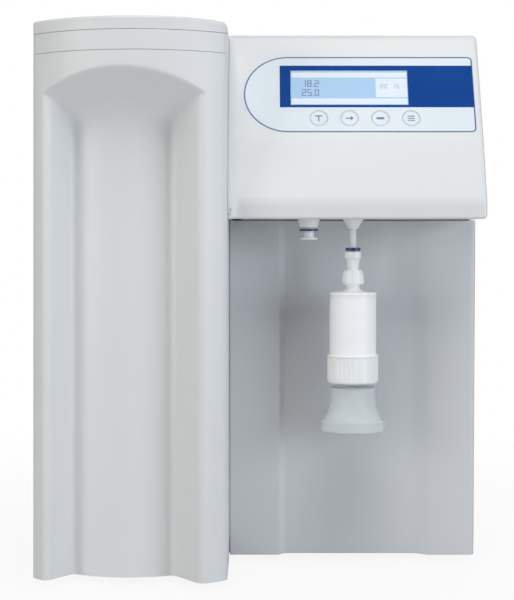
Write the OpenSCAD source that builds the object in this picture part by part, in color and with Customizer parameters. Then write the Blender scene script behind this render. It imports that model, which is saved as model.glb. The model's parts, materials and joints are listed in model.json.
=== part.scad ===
// Bench-top ultrapure water system: a fluted pillar with a hinged door at the left, and at its right a
// housing with an overhanging head, a recessed dispensing panel and a final filter capsule.
// Millimetres. X runs to the right, Y to the back, Z up. The floor is at Z = 0 and the bounding box is centred
// on the origin in X and Y. "Reach" means how far a point stands in front of the dispensing panel's face.

/* [Casing] */
// Overall width
body_w = 427; // [400:1:520]
// Overall height, feet included
body_h = 525; // [480:1:620]
// Depth of the housing, from the dispensing panel to the rear panel
housing_d = 294; // [270:1:360]
// Wall of the moulded covers
wall = 3; // [2:0.5:4]
// Seam between two covers
seam = 0.3; // [0.2:0.05:0.6]
// Height of the rubber feet
foot_h = 6; // [4:1:15]
// Diameter of the rubber feet
foot_d = 26; // [18:1:40]

/* [Pillar] */
// Width of the pillar
pillar_w = 182; // [170:1:230]
// Reach of the pillar's front at its foot, before the flute is cut
pillar_reach = 145; // [135:1:170]
// Radius of the pillar's rounded front
front_r = 130; // [125:1:160]
// How far the centre of that radius lies right of the pillar's middle
front_shift = 5; // [0:1:10]
// Angle by which the pillar's front leans back
lean = 2.4; // [0:0.1:4]
// Rounding of the pillar's outer corners
corner_r = 12; // [6:1:18]
// Height of the cap
cap_h = 12; // [8:1:20]
// Height of the header band below the cap
header_h = 18.4; // [15:0.1:26]
// Reach of the parting line between the door and the fixed pillar
parting_reach = 30; // [25:1:36]

/* [Flute] */
// Distance of the left groove from the pillar's left side
groove_left = 37; // [33:1:42]
// Distance of the right groove from the pillar's right side
groove_right = 51; // [46:1:56]
// Reach of the left groove at the foot
groove_left_reach = 86; // [80:1:92]
// Reach of the right groove at the foot
groove_right_reach = 92; // [84:1:98]
// How far the floor of the flute bulges between its grooves
floor_crown = 11; // [4:1:14]
// Rounding of the grooves
groove_r = 14; // [8:1:18]
// Rounding of the ridges beside the flute
ridge_r = 7; // [4:0.5:9]
// Height of the flute's ceiling at the pillar's front, below the top of the body
arch_drop = 46; // [40:1:60]
// Slope of the ceiling
arch_slope = 44; // [35:1:55]
// How much the ceiling tilts down to the right
arch_tilt = 5; // [0:1:8]

/* [Head] */
// Height of the head's lower edge above the floor
head_z = 341; // [300:1:380]
// Reach of the head's lower lip
head_reach = 78; // [65:1:95]
// Height of the lip
lip_h = 17; // [10:1:25]
// Height of the bend below the control panel, above the head's lower edge
bend_h = 74; // [65:1:85]
// Reach of that bend
bend_reach = 53; // [46:1:60]
// Angle by which the control panel leans back
panel_tilt = 27; // [20:1:32]
// Depth of the head cover behind the dispensing panel's face
head_back = 40; // [30:1:60]
// Radius of the hollow where the head meets the pillar
head_fillet = 12; // [6:1:16]
// Softening of the head's outer end
head_edge = 4; // [2:0.5:6]

/* [Control panel] */
// Width of the graphic film
film_w = 224; // [200:1:230]
// Height of the graphic film, along the slope
film_h = 86; // [80:1:90]
// Distance of the film from the head's outer end
film_right = 6.5; // [5:0.5:10]
// Distance of the film from the bend, along the slope
film_low = 10.5; // [8:0.5:13]
// Thickness of the film
film_t = 0.5; // [0.3:0.1:1]
// Width of the display window
lcd_w = 114; // [90:1:120]
// Height of the display window
lcd_h = 39; // [30:1:42]
// Distance of the display window from the film's left end
lcd_left = 45.7; // [44:0.1:50]
// Distance of the display window from the film's lower edge
lcd_low = 31; // [29:0.5:34]
// Number of keys
key_count = 4; // [2:1:4]
// Diameter of a key
key_d = 17; // [12:0.5:18]
// Distance between keys
key_pitch = 29.7; // [26:0.1:31]
// Distance of the first key from the film's left end
key_left = 72.5; // [60:0.5:80]
// Distance of the keys from the film's lower edge
key_low = 15.8; // [12:0.1:17]
// Travel of a key
key_travel = 0.6; // [0.3:0.1:1]

/* [Dispensing panel] */
// Left edge of the recess, from the pillar
recess_left = 50; // [40:1:60]
// Width of the recess
recess_w = 148; // [120:1:155]
// Depth of the recess
recess_d = 8; // [4:1:12]
// Run of the recess's left wall
recess_run_left = 5; // [2:1:10]
// Run of the recess's right wall
recess_run_right = 13; // [5:1:20]

/* [Outlets and final filter] */
// Reach of both outlets
outlet_reach = 42; // [34:1:50]
// Distance of the left outlet from the pillar
outlet_left = 77.5; // [60:0.5:85]
// Distance between the two outlets
outlet_pitch = 42.8; // [38:0.1:60]
// Outside diameter of the tubing
tube_d = 6.35; // [6:0.05:6.5]
// Length of tube that shows between the outlet and the filter
tube_show = 18.3; // [12:0.1:30]
// Diameter of the filter capsule
capsule_d = 44.7; // [40:0.1:52]
// Height of the capsule's straight body
capsule_h = 57.3; // [40:0.1:70]
// Diameter of the capsule's collar
collar_d = 49.5; // [48:0.1:60]
// Height of the collar
collar_h = 28; // [20:0.5:34]
// Diameter of the filling bell's mouth
bell_d = 62; // [56:1:70]
// Height of the filling bell
bell_h = 43; // [36:1:50]
// Wall of the filling bell
bell_wall = 1.8; // [1.2:0.1:2.5]

/* [Water path inside] */
// Diameter of a cartridge
cartridge_d = 78; // [60:1:82]
// Height of a cartridge's body
cartridge_h = 330; // [240:1:340]
// Distance between the two cartridges
cartridge_pitch = 87; // [84:1:90]
// Diameter of the reverse osmosis module
ro_d = 64; // [50:1:76]
// Height of the reverse osmosis module
ro_h = 300; // [220:1:330]
// Diameter of the ultraviolet lamp's steel housing
uv_d = 50; // [40:1:60]
// Height of that housing
uv_h = 280; // [200:1:300]
// Diameter of the booster pump
pump_d = 72; // [60:1:80]

/* [Hidden] */

$fn = 64;
eps = 0.01;                 // overshoot of a cut
run_gap = 0.05;             // radial clearance of a running fit
soft_fn = 48;               // segments of the rounded outlines

case_colour = "#dfe1e4";
panel_colour = "#c9cbce";
blue = "#1f55a0";
white = "#f4f5f6";
dark = "#3a3d42";
metal = "#b9bdc2";
board_green = "#2f6b46";

// Places that several pieces share
side_x = body_w / 2;
inner_x = side_x - wall;
pillar_x1 = -side_x + pillar_w;                         // right side of the pillar
pillar_mid = -side_x + pillar_w / 2;
arc_x = pillar_mid + front_shift;
arc_reach = pillar_reach - front_r;
floor_z = foot_h + wall;                                // top of the tray's floor
cap_z = body_h - cap_h;
header_z = cap_z - seam - header_h;
door_top = header_z - seam;
cover_top = cap_z - seam;
port_z = foot_h + 64;                                   // height of the rear water ports

// Groove corners of the flute, and the directions of its two flanks
groove_a = [-side_x + groove_left, groove_left_reach];
groove_b = [pillar_x1 - groove_right, groove_right_reach];
flank_a = [-0.49, 0.87];
flank_b = [0.52, 0.854];

// The right ridge stands furthest forward. Its rounding touches the front arc and the right flank.
ridge_n = [flank_b[1], -flank_b[0]];
ridge_q = groove_b + ridge_r * ridge_n;
ridge_w = ridge_q - [arc_x, arc_reach];
ridge_along = ridge_w * flank_b;
ridge_t = -ridge_along + sqrt(pow(ridge_along, 2) - ridge_w * ridge_w + pow(front_r - ridge_r, 2));
front_reach = (ridge_q[1] + ridge_t * flank_b[1] + ridge_r) / cos(lean);

port_reach = 12.2;                                      // how far the port collets stand behind the rear panel
y_panel = (front_reach - housing_d - port_reach) / 2;
y_back = y_panel + housing_d;

// A point's Y from its reach, and how far the leaning front has moved back at a height
function at(reach) = y_panel - reach;
function lean_shift(z) = (z - foot_h) * tan(lean);

// Hinge of the door: the barrel is tangent to the pillar's left side
barrel_r = 4.5;
hinge_x = -side_x + barrel_r;
hinge_pin_r = 2.5;
hinge_lug_h = 3.5;
hinge_pin_in = 20;                                      // length of pin inside the door
side_front = parting_reach - barrel_r - 1;              // front edge of the left side cover

// Control panel frame: x as the model, y up the slope from the bend, z out of the face
film_x0 = side_x - film_right - film_w;
key_x0 = film_x0 + key_left;
key_y = film_low + key_low;
key_flange_d = key_d + 3;
board_drop = 7;                                         // face to the key board
inner_face = -wall;

// Right outlet and what hangs on it, from the top down
outlet_x = pillar_x1 + outlet_left;
filter_x = outlet_x + outlet_pitch;
outlet_y = at(outlet_reach);
plate_t = 2.5;
plate_z = head_z + 0.5;                                 // underside of the head's bottom plate
cone_z = head_z - 9;                                    // tip of the outlet cone
clip_z = cone_z - tube_show - 2.9;
fitting_h = 16;
fitting_z = clip_z - 1 - fitting_h;
nut_h = 14;
nut_z = fitting_z - 1.5 - nut_h;
neck_r = 6.15;
shoulder_h = 3.2;
shoulder_z = nut_z - 7;                                 // top of the capsule's shoulder
body_z = shoulder_z - shoulder_h - capsule_h;           // lower end of the capsule's body
collar_z = body_z - collar_h + seam;
spigot_r = 4;
bell_top = collar_z - 3.3;
bell_z = bell_top - bell_h;

// Cartridges and other inner pieces
cartridge_y = at(-20);
cartridge_xs = [pillar_mid - cartridge_pitch / 2, pillar_mid + cartridge_pitch / 2];
manifold_z = foot_h + 54 + cartridge_h + 18;
manifold_h = 36;
cartridge_z = manifold_z - 14 - cartridge_h;
cartridge_neck_r = 15;
shelf_z = cartridge_z - 10;
plate_reach = -62;                                      // front face of the equipment plate
ro_x = pillar_mid;
ro_y = at(-130);
uv_x = side_x - 62;
uv_y = at(plate_reach - 40);
pump_x = pillar_x1 + 62;
pump_z = floor_z + 8 + pump_d / 2;

// ---------- outlines ----------

// Plan of the pillar with its rounded front, from a reach behind the panel forward
module pillar_plan(back_reach) {
    offset(r = corner_r, $fn = soft_fn) offset(delta = -corner_r) {
        intersection() {
            translate([arc_x, -arc_reach]) circle(r = front_r, $fn = 160);
            translate([-side_x, -pillar_reach - 1]) square([pillar_w, pillar_reach + 1 - arc_reach]);
        }
        translate([-side_x, -arc_reach - eps]) square([pillar_w, arc_reach - back_reach + eps]);
    }
}

// Plan of the flute: two flanks, two rounded grooves and a crowned floor between them
module flute_plan() {
    a = [groove_a[0], -groove_a[1]];
    b = [groove_b[0], -groove_b[1]];
    up_a = a + 160 * [flank_a[0], -flank_a[1]];
    up_b = b + 160 * [flank_b[0], -flank_b[1]];
    half = norm(b - a) / 2;
    crown_r = (pow(half, 2) + pow(floor_crown, 2)) / (2 * floor_crown);
    turn = atan2(b[1] - a[1], b[0] - a[0]);
    offset(r = groove_r, $fn = soft_fn) offset(delta = -groove_r) difference() {
        polygon([a, b, up_b, up_a]);
        translate((a + b) / 2) rotate(turn) translate([0, crown_r - floor_crown]) circle(r = crown_r, $fn = 160);
    }
}

// Plan of the pillar with the flute cut and the ridges rounded
module fluted_plan() {
    offset(r = ridge_r, $fn = soft_fn) offset(delta = -ridge_r) difference() {
        pillar_plan(-30);
        flute_plan();
    }
}

// Side outline of the head, drawn with reach along X and height along Y, smaller by an inset. The pieces that
// cross each other have other segment counts, so that their edges don't fall together.
module head_outline(inset = 0, segments = 96) {
    bend_r = 14;
    edge_r = 2.5;
    top_reach = bend_reach - (body_h - head_z - bend_h) * tan(panel_tilt);
    deep = -head_back - 60;
    intersection() {
        offset(r = bend_r, $fn = segments) offset(delta = -bend_r - inset)
            polygon([[deep, head_z - 60], [head_reach, head_z - 60], [head_reach, head_z + lip_h],
                [bend_reach, head_z + bend_h], [top_reach, body_h], [deep, body_h]]);
        offset(r = edge_r, $fn = 24) offset(delta = -edge_r - inset)
            polygon([[deep, head_z], [head_reach, head_z], [head_reach, body_h + 60], [deep, body_h + 60]]);
    }
}

// Outline of the graphic film: round at its left end
module film_outline(grow = 0) {
    offset(delta = grow) hull() {
        translate([film_x0 + film_h / 2, film_low + film_h / 2]) circle(d = film_h, $fn = 96);
        translate([film_x0 + film_w - 4, film_low]) square([4, film_h]);
    }
}

// ---------- placing ----------

// A prism along the pillar's leaning front, between two heights
module lean_prism(z0, z1) {
    intersection() {
        translate([0, y_panel, foot_h]) rotate([-lean, 0, 0]) translate([0, 0, -40])
            linear_extrude(body_h + 80) children();
        translate([-body_w, -2 * housing_d, z0]) cube([2 * body_w, 4 * housing_d, z1 - z0]);
    }
}

// Everything above the flute's sloping ceiling, moved up by a wall
module above_ceiling(up = 0) {
    z = body_h - arch_drop;
    reach = pillar_reach - lean_shift(z);
    translate([pillar_mid, at(reach), z]) rotate([-arch_slope, arch_tilt, 0])
        translate([-pillar_w, -300, up]) cube([2 * pillar_w, 600, 400]);
}

// Everything behind a reach
module behind(reach) {
    translate([-body_w, at(reach), -50]) cube([2 * body_w, 2 * housing_d, body_h + 100]);
}

// An extrusion of the head's side outline between two X
module head_prism(x0, x1) {
    translate([x0, y_panel, 0]) rotate([90, 0, 90]) linear_extrude(x1 - x0) mirror([1, 0]) children();
}

module on_control_panel() {
    translate([0, at(bend_reach), head_z + bend_h]) rotate([90 - panel_tilt, 0, 0]) children();
}

module at_left_outlet() { translate([outlet_x, outlet_y, 0]) children(); }

module at_filter() { translate([filter_x, outlet_y, 0]) children(); }

// A piece turned about a vertical axis, from [radius, height] pairs
module turned(points) { rotate_extrude($fn = 96) polygon(points); }

module rod(r, h) { cylinder(r = r, h = h); }

// A rod along Y, from a point backward
module rod_y(r, h) { rotate([-90, 0, 0]) cylinder(r = r, h = h); }

module box_at(x0, x1, y0, y1, z0, z1) { translate([x0, y0, z0]) cube([x1 - x0, y1 - y0, z1 - z0]); }

// ---------- casing ----------

module base_tray() {
    left = -inner_x + seam;
    right = inner_x - seam;
    front_left = at(side_front - 3);
    front_right = at(-recess_d - wall - seam);
    back = y_back - 2 - seam;
    rim = 14;
    color(metal) difference() {
        union() {
            box_at(left, pillar_x1 - wall - seam, front_left, back, foot_h, floor_z + rim);
            box_at(left, right, front_right, back, foot_h, floor_z + rim);
            // lug that holds the lower hinge pin
            box_at(-side_x, hinge_x + barrel_r, at(parting_reach), at(side_front + seam), foot_h, foot_h + hinge_lug_h);
            box_at(left, hinge_x + barrel_r, at(parting_reach), front_left + 10, foot_h, foot_h + hinge_lug_h);
            translate([hinge_x, at(parting_reach), foot_h]) rod(barrel_r, hinge_lug_h);
        }
        box_at(left + wall, pillar_x1 - 2 * wall, front_left + wall, back - wall, floor_z, floor_z + rim + 1);
        box_at(left + wall, right - wall, front_right + wall, back - wall, floor_z, floor_z + rim + 1);
        translate([hinge_x, at(parting_reach), foot_h - 1]) rod(hinge_pin_r, hinge_lug_h + 2);
    }
}

foot_places = [[-side_x + 44, at(4)], [side_x - 36, at(-52)], [-side_x + 44, at(-housing_d + 34)],
    [side_x - 36, at(-housing_d + 34)]];

module rubber_feet() {
    color(dark) for (p = foot_places) translate([p[0], p[1], 0]) {
        cylinder(d1 = foot_d - 3, d2 = foot_d, h = 2);
        translate([0, 0, 2 - eps]) cylinder(d = foot_d, h = foot_h - 2 + eps);
    }
}

module left_side_cover() {
    color(case_colour) {
        box_at(-side_x, -inner_x, at(side_front), y_back, foot_h, cover_top);
        box_at(-inner_x - eps, -inner_x + 12, y_back - 2 - seam - wall, y_back - 2 - seam, floor_z + 30, cover_top - 12);
    }
}

module right_side_cover() {
    color(case_colour) {
        box_at(inner_x, side_x, at(-15 - seam), y_back, foot_h, head_z - seam);
        box_at(inner_x, side_x, at(-head_back - seam), y_back, head_z - seam - eps, cover_top);
        box_at(inner_x - 12, inner_x + eps, y_back - 2 - seam - wall, y_back - 2 - seam, floor_z + 30, cover_top - 12);
    }
}

// Wall between the cartridge space and the rest, also the pillar's right side behind the door
module middle_wall() {
    color(case_colour) difference() {
        union() {
            box_at(pillar_x1 - wall, pillar_x1, at(parting_reach), y_back - 2 - seam, floor_z, header_z - seam);
            box_at(pillar_x1 - wall, pillar_x1, at(parting_reach), at(0), foot_h, floor_z + eps);
            box_at(pillar_x1 - wall, pillar_x1, at(side_front), y_back - 2 - seam, header_z - seam - eps, cover_top);
        }
        // ways for the tubes between the two spaces
        for (z = [floor_z + 60, manifold_z + manifold_h / 2]) translate([pillar_x1 - wall - 1, at(-150), z])
            rotate([0, 90, 0]) cylinder(d = 24, h = wall + 2);
        // the tray's rim passes below the wall
        box_at(pillar_x1 - wall - 1, pillar_x1 + 1, at(side_front - 3) - seam, y_back, foot_h - 1, floor_z + 14 + seam);
    }
}

vent_rows = 9;
port_xs = [-side_x + 36, -side_x + 72, -side_x + 108];
inlet_x = side_x - 60;
inlet_z = foot_h + 60;
switch_x = inlet_x - 48;
fuse_x = switch_x - 36;

module rear_panel() {
    color(panel_colour) difference() {
        box_at(-inner_x + seam, inner_x - seam, y_back - 2, y_back, floor_z + seam, cover_top);
        for (x = port_xs) translate([x, y_back - 3, port_z]) rod_y(6.1, 4);
        box_at(inlet_x - 14.2, inlet_x + 14.2, y_back - 3, y_back + 1, inlet_z - 10.2, inlet_z + 10.2);
        box_at(switch_x - 9.2, switch_x + 9.2, y_back - 3, y_back + 1, inlet_z - 13.2, inlet_z + 13.2);
        translate([fuse_x, y_back - 3, inlet_z]) rod_y(6.1, 4);
        for (i = [0 : vent_rows - 1]) box_at(side_x - 150, side_x - 50, y_back - 3, y_back + 1,
            cover_top - 60 - i * 11, cover_top - 55 - i * 11);
    }
}

module top_cover() {
    x0 = pillar_x1 + seam;
    y0 = at(-head_back - seam);
    color(case_colour) difference() {
        box_at(x0, side_x, y0, y_back, cap_z, body_h);
        box_at(x0 - 1, inner_x, y0 - 1, y_back - wall, cap_z - 1, body_h - wall);
    }
}

module panel_plan() {
    x0 = pillar_x1 + seam;
    r0 = pillar_x1 + recess_left;
    r1 = r0 + recess_w;
    deep = 40;
    difference() {
        offset(r = 5, $fn = soft_fn) offset(delta = -5)
            polygon([[x0 - 20, 0], [side_x, 0], [side_x, deep], [x0 - 20, deep]]);
        polygon([[r0, -1], [r0, 0], [r0 + recess_run_left, recess_d], [r1 - recess_run_right, recess_d], [r1, 0],
            [r1, -1]]);
    }
}

module dispensing_panel() {
    color(panel_colour) intersection() {
        translate([0, y_panel, foot_h]) linear_extrude(head_z - seam - foot_h) difference() {
            panel_plan();
            offset(delta = -wall) panel_plan();
        }
        // the sheet's front, and its return at the right side
        union() {
            box_at(pillar_x1 + seam, side_x, at(1), at(-recess_d - wall), 0, body_h);
            box_at(inner_x - eps, side_x + 1, at(1), at(-15), 0, body_h);
        }
    }
}

slice_t = 0.1;

module head_slice(x, inset, segments = 96) { head_prism(x - slice_t, x) head_outline(inset, segments); }

// Hollow between the head's front and the pillar's side: chords of a quarter round, each drawn a little
// longer so that it dives into the next
module head_root(x0) {
    steps = 4;
    over = 0.12;
    function run(a) = head_fillet * (1 - cos(a));
    function rise(a) = head_fillet * (1 - sin(a));
    for (i = [0 : steps - 1]) let (a = 90 * i / steps, b = 90 * (i + 1) / steps) hull() for (t = [-over, 1 + over])
        head_slice(x0 + run(a) + t * (run(b) - run(a)), -rise(a) - t * (rise(b) - rise(a)), 52 + 4 * i);
}

module head_cover() {
    x0 = pillar_x1 + seam;
    back = at(-head_back);
    color(case_colour) difference() {
        union() {
            hull() {
                head_slice(x0 + 4, 0);
                head_slice(side_x - head_edge, 0);
                head_slice(side_x - head_edge * 0.3, head_edge * 0.3);
                head_slice(side_x, head_edge);
            }
            intersection() {
                head_root(x0);
                box_at(x0, x0 + head_fillet + 2, at(head_reach + 20), back + 10, head_z, body_h);
            }
        }
        behind(-head_back);
        // hollow, open below and behind
        head_prism(x0 + head_fillet, inner_x) head_outline(wall);
        box_at(x0 + head_fillet, inner_x, at(head_reach - wall), back + 1, head_z - 1, head_z + lip_h - 6);
        on_control_panel() {
            translate([0, 0, -film_t]) linear_extrude(10) film_outline();
            translate([film_x0 + lcd_left - seam, film_low + lcd_low - seam, -10])
                cube([lcd_w + 2 * seam, lcd_h + 2 * seam, 20]);
            for (i = [0 : key_count - 1]) translate([key_x0 + i * key_pitch, key_y, -10])
                rod(key_d / 2 + seam, 20);
        }
    }
    // posts that carry the key board
    color(case_colour) on_control_panel() for (i = [0 : key_count])
        translate([key_x0 + (i - 0.5) * key_pitch, key_y, -board_drop]) rod(2.5, board_drop - wall + 0.5);
}

module head_underside() {
    color(case_colour) difference() {
        box_at(pillar_x1 + seam + head_fillet + seam, inner_x - seam, at(head_reach - wall - seam), at(-16),
            plate_z, plate_z + plate_t);
        translate([outlet_x, outlet_y, plate_z - 1]) rod(8, 5);
        translate([filter_x, outlet_y, plate_z - 1]) rod(8, 5);
    }
}

module pillar_header() {
    color(case_colour) difference() {
        lean_prism(header_z, cover_top) pillar_plan(-60);
        difference() {
            lean_prism(header_z + wall, cover_top + 1) offset(delta = -wall) pillar_plan(-80);
            box_at(-side_x, -side_x + 12, at(parting_reach + 10), at(side_front - 8), header_z, header_z + 12);
        }
        behind(side_front + seam);
        translate([hinge_x, at(parting_reach), header_z - 1]) rod(hinge_pin_r, 13);
    }
}

module cap_slice(z, inset) {
    translate([0, 0, z - 0.02]) linear_extrude(0.02) offset(delta = -inset) {
        translate([0, y_panel + lean_shift(z)]) pillar_plan(-60);
        translate([-side_x, y_panel]) square([pillar_w, housing_d]);
    }
}

module pillar_cap() {
    color(case_colour) {
        difference() {
            hull() {
                cap_slice(cap_z + 0.02, 0);
                cap_slice(body_h - 3, 0);
                cap_slice(body_h - 0.9, 0.9);
                cap_slice(body_h, 3);
            }
            translate([0, 0, cap_z - 1]) linear_extrude(cap_h - wall + 1) offset(delta = -wall) {
                translate([0, y_panel + lean_shift(cap_z)]) pillar_plan(-60);
                translate([-side_x, y_panel]) square([pillar_w, housing_d]);
            }
        }
    }
}

module door_solid() {
    lean_prism(foot_h, door_top) fluted_plan();
    intersection() {
        lean_prism(foot_h, door_top) pillar_plan(-30);
        above_ceiling();
    }
}

module door_hollow() {
    z0 = foot_h + wall;
    z1 = door_top - wall;
    lean_prism(z0, z1) offset(delta = -wall) fluted_plan();
    intersection() {
        lean_prism(z0, z1) offset(delta = -wall) pillar_plan(-60);
        above_ceiling(wall);
    }
}

strike_z = foot_h + 240;

module pillar_door() {
    barrel_z = foot_h + hinge_lug_h + seam;
    color(case_colour) difference() {
        union() {
            difference() {
                door_solid();
                door_hollow();
                behind(parting_reach + seam);
            }
            translate([hinge_x, at(parting_reach), barrel_z]) rod(barrel_r, door_top - barrel_z);
            box_at(-side_x, -side_x + wall, at(parting_reach + 1), at(parting_reach), barrel_z, door_top);
            // boss for the strike plate
            box_at(pillar_x1 - wall - 14, pillar_x1 - wall + eps, at(parting_reach + 10), at(parting_reach + 4),
                strike_z, strike_z + 40);
        }
        translate([hinge_x, at(parting_reach), foot_h - 1]) rod(barrel_r + 2.5, hinge_lug_h + seam + 1);
        translate([hinge_x, at(parting_reach), barrel_z - 1]) rod(hinge_pin_r + run_gap, hinge_pin_in + 1.5);
        translate([hinge_x, at(parting_reach), door_top - hinge_pin_in - 0.5])
            rod(hinge_pin_r + run_gap, hinge_pin_in + 2);
    }
}

module hinge_pins() {
    color(metal) {
        translate([hinge_x, at(parting_reach), foot_h]) rod(hinge_pin_r, hinge_lug_h + seam + hinge_pin_in);
        translate([hinge_x, at(parting_reach), door_top - hinge_pin_in]) rod(hinge_pin_r, hinge_pin_in + seam + 12);
    }
}

module door_strike() {
    color(metal) box_at(pillar_x1 - wall - 13, pillar_x1 - wall - 1, at(parting_reach + 4), at(parting_reach + 1.5),
        strike_z + 5, strike_z + 35);
}

module door_catch() {
    color(dark) box_at(pillar_x1 - wall - 13, pillar_x1 - wall, at(parting_reach + 1.1), at(parting_reach - 16),
        strike_z + 8, strike_z + 32);
}

// ---------- control panel ----------

module graphic_film() {
    color(white) on_control_panel() difference() {
        translate([0, 0, -film_t]) linear_extrude(film_t) film_outline(-0.2);
        translate([film_x0 + lcd_left - seam, film_low + lcd_low - seam, -2])
            cube([lcd_w + 2 * seam, lcd_h + 2 * seam, 4]);
        for (i = [0 : key_count - 1]) translate([key_x0 + i * key_pitch, key_y, -2]) rod(key_d / 2 + seam, 4);
    }
}

module display_window() {
    color(blue) on_control_panel() {
        translate([film_x0 + lcd_left, film_low + lcd_low, inner_face - 0.1]) cube([lcd_w, lcd_h, wall + 0.1 - 0.2]);
        translate([film_x0 + lcd_left - 3, film_low + lcd_low - 2.5, inner_face - 1.6])
            cube([lcd_w + 6, lcd_h + 5, 1.5 + eps]);
    }
}

module lcd_module() {
    color(board_green) on_control_panel() {
        translate([film_x0 + lcd_left - 8, film_low + lcd_low - 2.5, inner_face - 9.2]) cube([lcd_w + 16, lcd_h + 12, 1.6]);
        translate([film_x0 + lcd_left - 2, film_low + lcd_low - 2, inner_face - 7.6 - eps])
            cube([lcd_w + 4, lcd_h + 4, 5.9]);
    }
}

module key(i) {
    color(white) on_control_panel() translate([key_x0 + i * key_pitch, key_y, 0]) {
        translate([0, 0, -wall - 0.2]) rod(key_d / 2, wall + 0.2);
        translate([0, 0, -wall - 1.4]) rod(key_flange_d / 2, 1.2 + eps);
    }
}

module key_1() { key(0); }
module key_2() { key(1); }
module key_3() { key(2); }
module key_4() { key(3); }

module key_board() {
    dome_h = board_drop - wall - 1.4 - key_travel - 0.1;
    color(board_green) on_control_panel() {
        translate([key_x0 - 0.5 * key_pitch - 5, key_y - 11, -board_drop - 1.6])
            cube([key_count * key_pitch + 10, 22, 1.6]);
        for (i = [0 : key_count - 1]) translate([key_x0 + i * key_pitch, key_y, -board_drop - eps])
            cylinder(r1 = 5, r2 = 3.5, h = dome_h);
    }
}

// ---------- outlets and final filter ----------

module left_outlet() {
    color(white) at_left_outlet() turned([[5.2, plate_z + plate_t + 14], [5.2, head_z - 7.8], [8.75, head_z - 7.8],
        [10.7, plate_z - eps], [8, plate_z - eps], [8, plate_z + plate_t + eps], [12, plate_z + plate_t + eps],
        [12, plate_z + plate_t + 3], [8, plate_z + plate_t + 3], [8, plate_z + plate_t + 14]]);
}

module left_clip() {
    z = head_z - 11.2;
    color(blue) at_left_outlet() difference() {
        translate([0, 0, z]) rod(9.2, 1.9);
        translate([0, 0, z - 1]) rod(5.4, 4);
        box_at(-4.6, 4.6, 0, 12, z - 1, z + 3);
    }
}

module left_collet() {
    z = head_z - 19.5;
    color(white) at_left_outlet() turned([[tube_d / 2 + run_gap, z], [8.25, z], [8.25, z + 1.9], [5.1, z + 1.9],
        [5.1, z + 26], [tube_d / 2 + run_gap, z + 26]]);
}

module right_outlet() {
    color(white) at_filter() turned([[tube_d / 2 + run_gap, cone_z], [tube_d / 2 + 1.2, cone_z], [10.2, plate_z - eps],
        [8, plate_z - eps], [8, plate_z + plate_t + eps], [12, plate_z + plate_t + eps], [12, plate_z + plate_t + 3],
        [8, plate_z + plate_t + 3], [8, plate_z + plate_t + 14], [2.2, plate_z + plate_t + 14], [2.2, head_z - 0.5],
        [tube_d / 2 + run_gap, head_z - 0.5]]);
}

module dispense_tube() {
    z = fitting_z + 6.5;
    color(white) at_filter() turned([[2.1, z], [tube_d / 2, z], [tube_d / 2, head_z - 0.7], [2.1, head_z - 0.7]]);
}

module tube_clip() {
    color(blue) at_filter() difference() {
        translate([0, 0, clip_z]) rod(7.3, 2.9);
        translate([0, 0, clip_z - 1]) rod(tube_d / 2 + 0.15, 5);
        box_at(-2.6, 2.6, 0, 12, clip_z - 1, clip_z + 4);
    }
}

module inlet_fitting() {
    top = fitting_z + fitting_h;
    color(white) at_filter() turned([[tube_d / 2 + run_gap, top], [7.75, top], [7.75, top - 6], [6.4, top - 7.5],
        [5.35, fitting_z + 1], [5.35, nut_z + 9.4], [7.2, nut_z + 9.4], [7.2, nut_z + 6.4], [2, nut_z + 6.4],
        [2, fitting_z + 6], [tube_d / 2 + run_gap, fitting_z + 6]]);
}

nut_ribs = 16;

module union_nut() {
    color(white) at_filter() difference() {
        translate([0, 0, nut_z]) {
            rod(10.2, nut_h);
            for (i = [0 : nut_ribs - 1]) rotate(i * 360 / nut_ribs) translate([10.1, 0, 1]) rod(0.7, nut_h - 3.5);
        }
        translate([0, 0, nut_z + 9.6]) rod(5.35 + run_gap, nut_h);
        translate([0, 0, nut_z + 6.2]) rod(7.3, 3.5);
        translate([0, 0, nut_z - 1]) rod(neck_r + run_gap, 7.3);
    }
}

module capsule_body() {
    r = capsule_d / 2;
    color(white) at_filter() turned([[2.5, nut_z + 6], [neck_r, nut_z + 6], [neck_r, shoulder_z], [r - 1.5, shoulder_z],
        [r + 0.5, shoulder_z - 1], [r + 0.5, shoulder_z - shoulder_h], [r, shoulder_z - shoulder_h], [r, body_z],
        [r - 1, body_z], [r - 1, body_z - 12], [r - 3, body_z - 12], [r - 3, shoulder_z - 4], [2.5, shoulder_z - 4]]);
}

module capsule_membrane() {
    color("#e9e4d6") at_filter() translate([0, 0, collar_z + 4]) rod(capsule_d / 2 - 4, shoulder_z - 4.5 - collar_z - 4);
}

collar_ribs = 24;

module capsule_collar() {
    r = collar_d / 2;
    top = body_z - seam;
    color(white) at_filter() difference() {
        union() {
            translate([0, 0, collar_z]) rod(r - 0.5, collar_h - 2 * seam);
            translate([0, 0, top - 2]) rod(r, 2);
            for (i = [0 : collar_ribs - 1]) rotate(i * 360 / collar_ribs) translate([r - 0.55, 0, collar_z + 2])
                rod(0.5, collar_h - 6);
        }
        translate([0, 0, collar_z + 4 - seam]) rod(capsule_d / 2 - 1 + run_gap, collar_h);
        translate([0, 0, collar_z - 1]) rod(spigot_r, 6);
    }
}

module outlet_spigot() {
    tip_z = bell_top - 20.5;
    color(white) at_filter() difference() {
        union() {
            translate([0, 0, collar_z - 10]) rod(spigot_r, 13.6);
            translate([0, 0, tip_z + 5]) cylinder(r1 = 2.4, r2 = 3.2, h = collar_z - 10 - tip_z - 5 + eps);
            translate([0, 0, tip_z]) cylinder(r1 = 2, r2 = 3.6, h = 5 + eps);
        }
        translate([0, 0, tip_z - 1]) rod(1.2, 60);
        box_at(-0.7, 0.7, -5, 5, tip_z - 1, tip_z + 6);
    }
}

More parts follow.
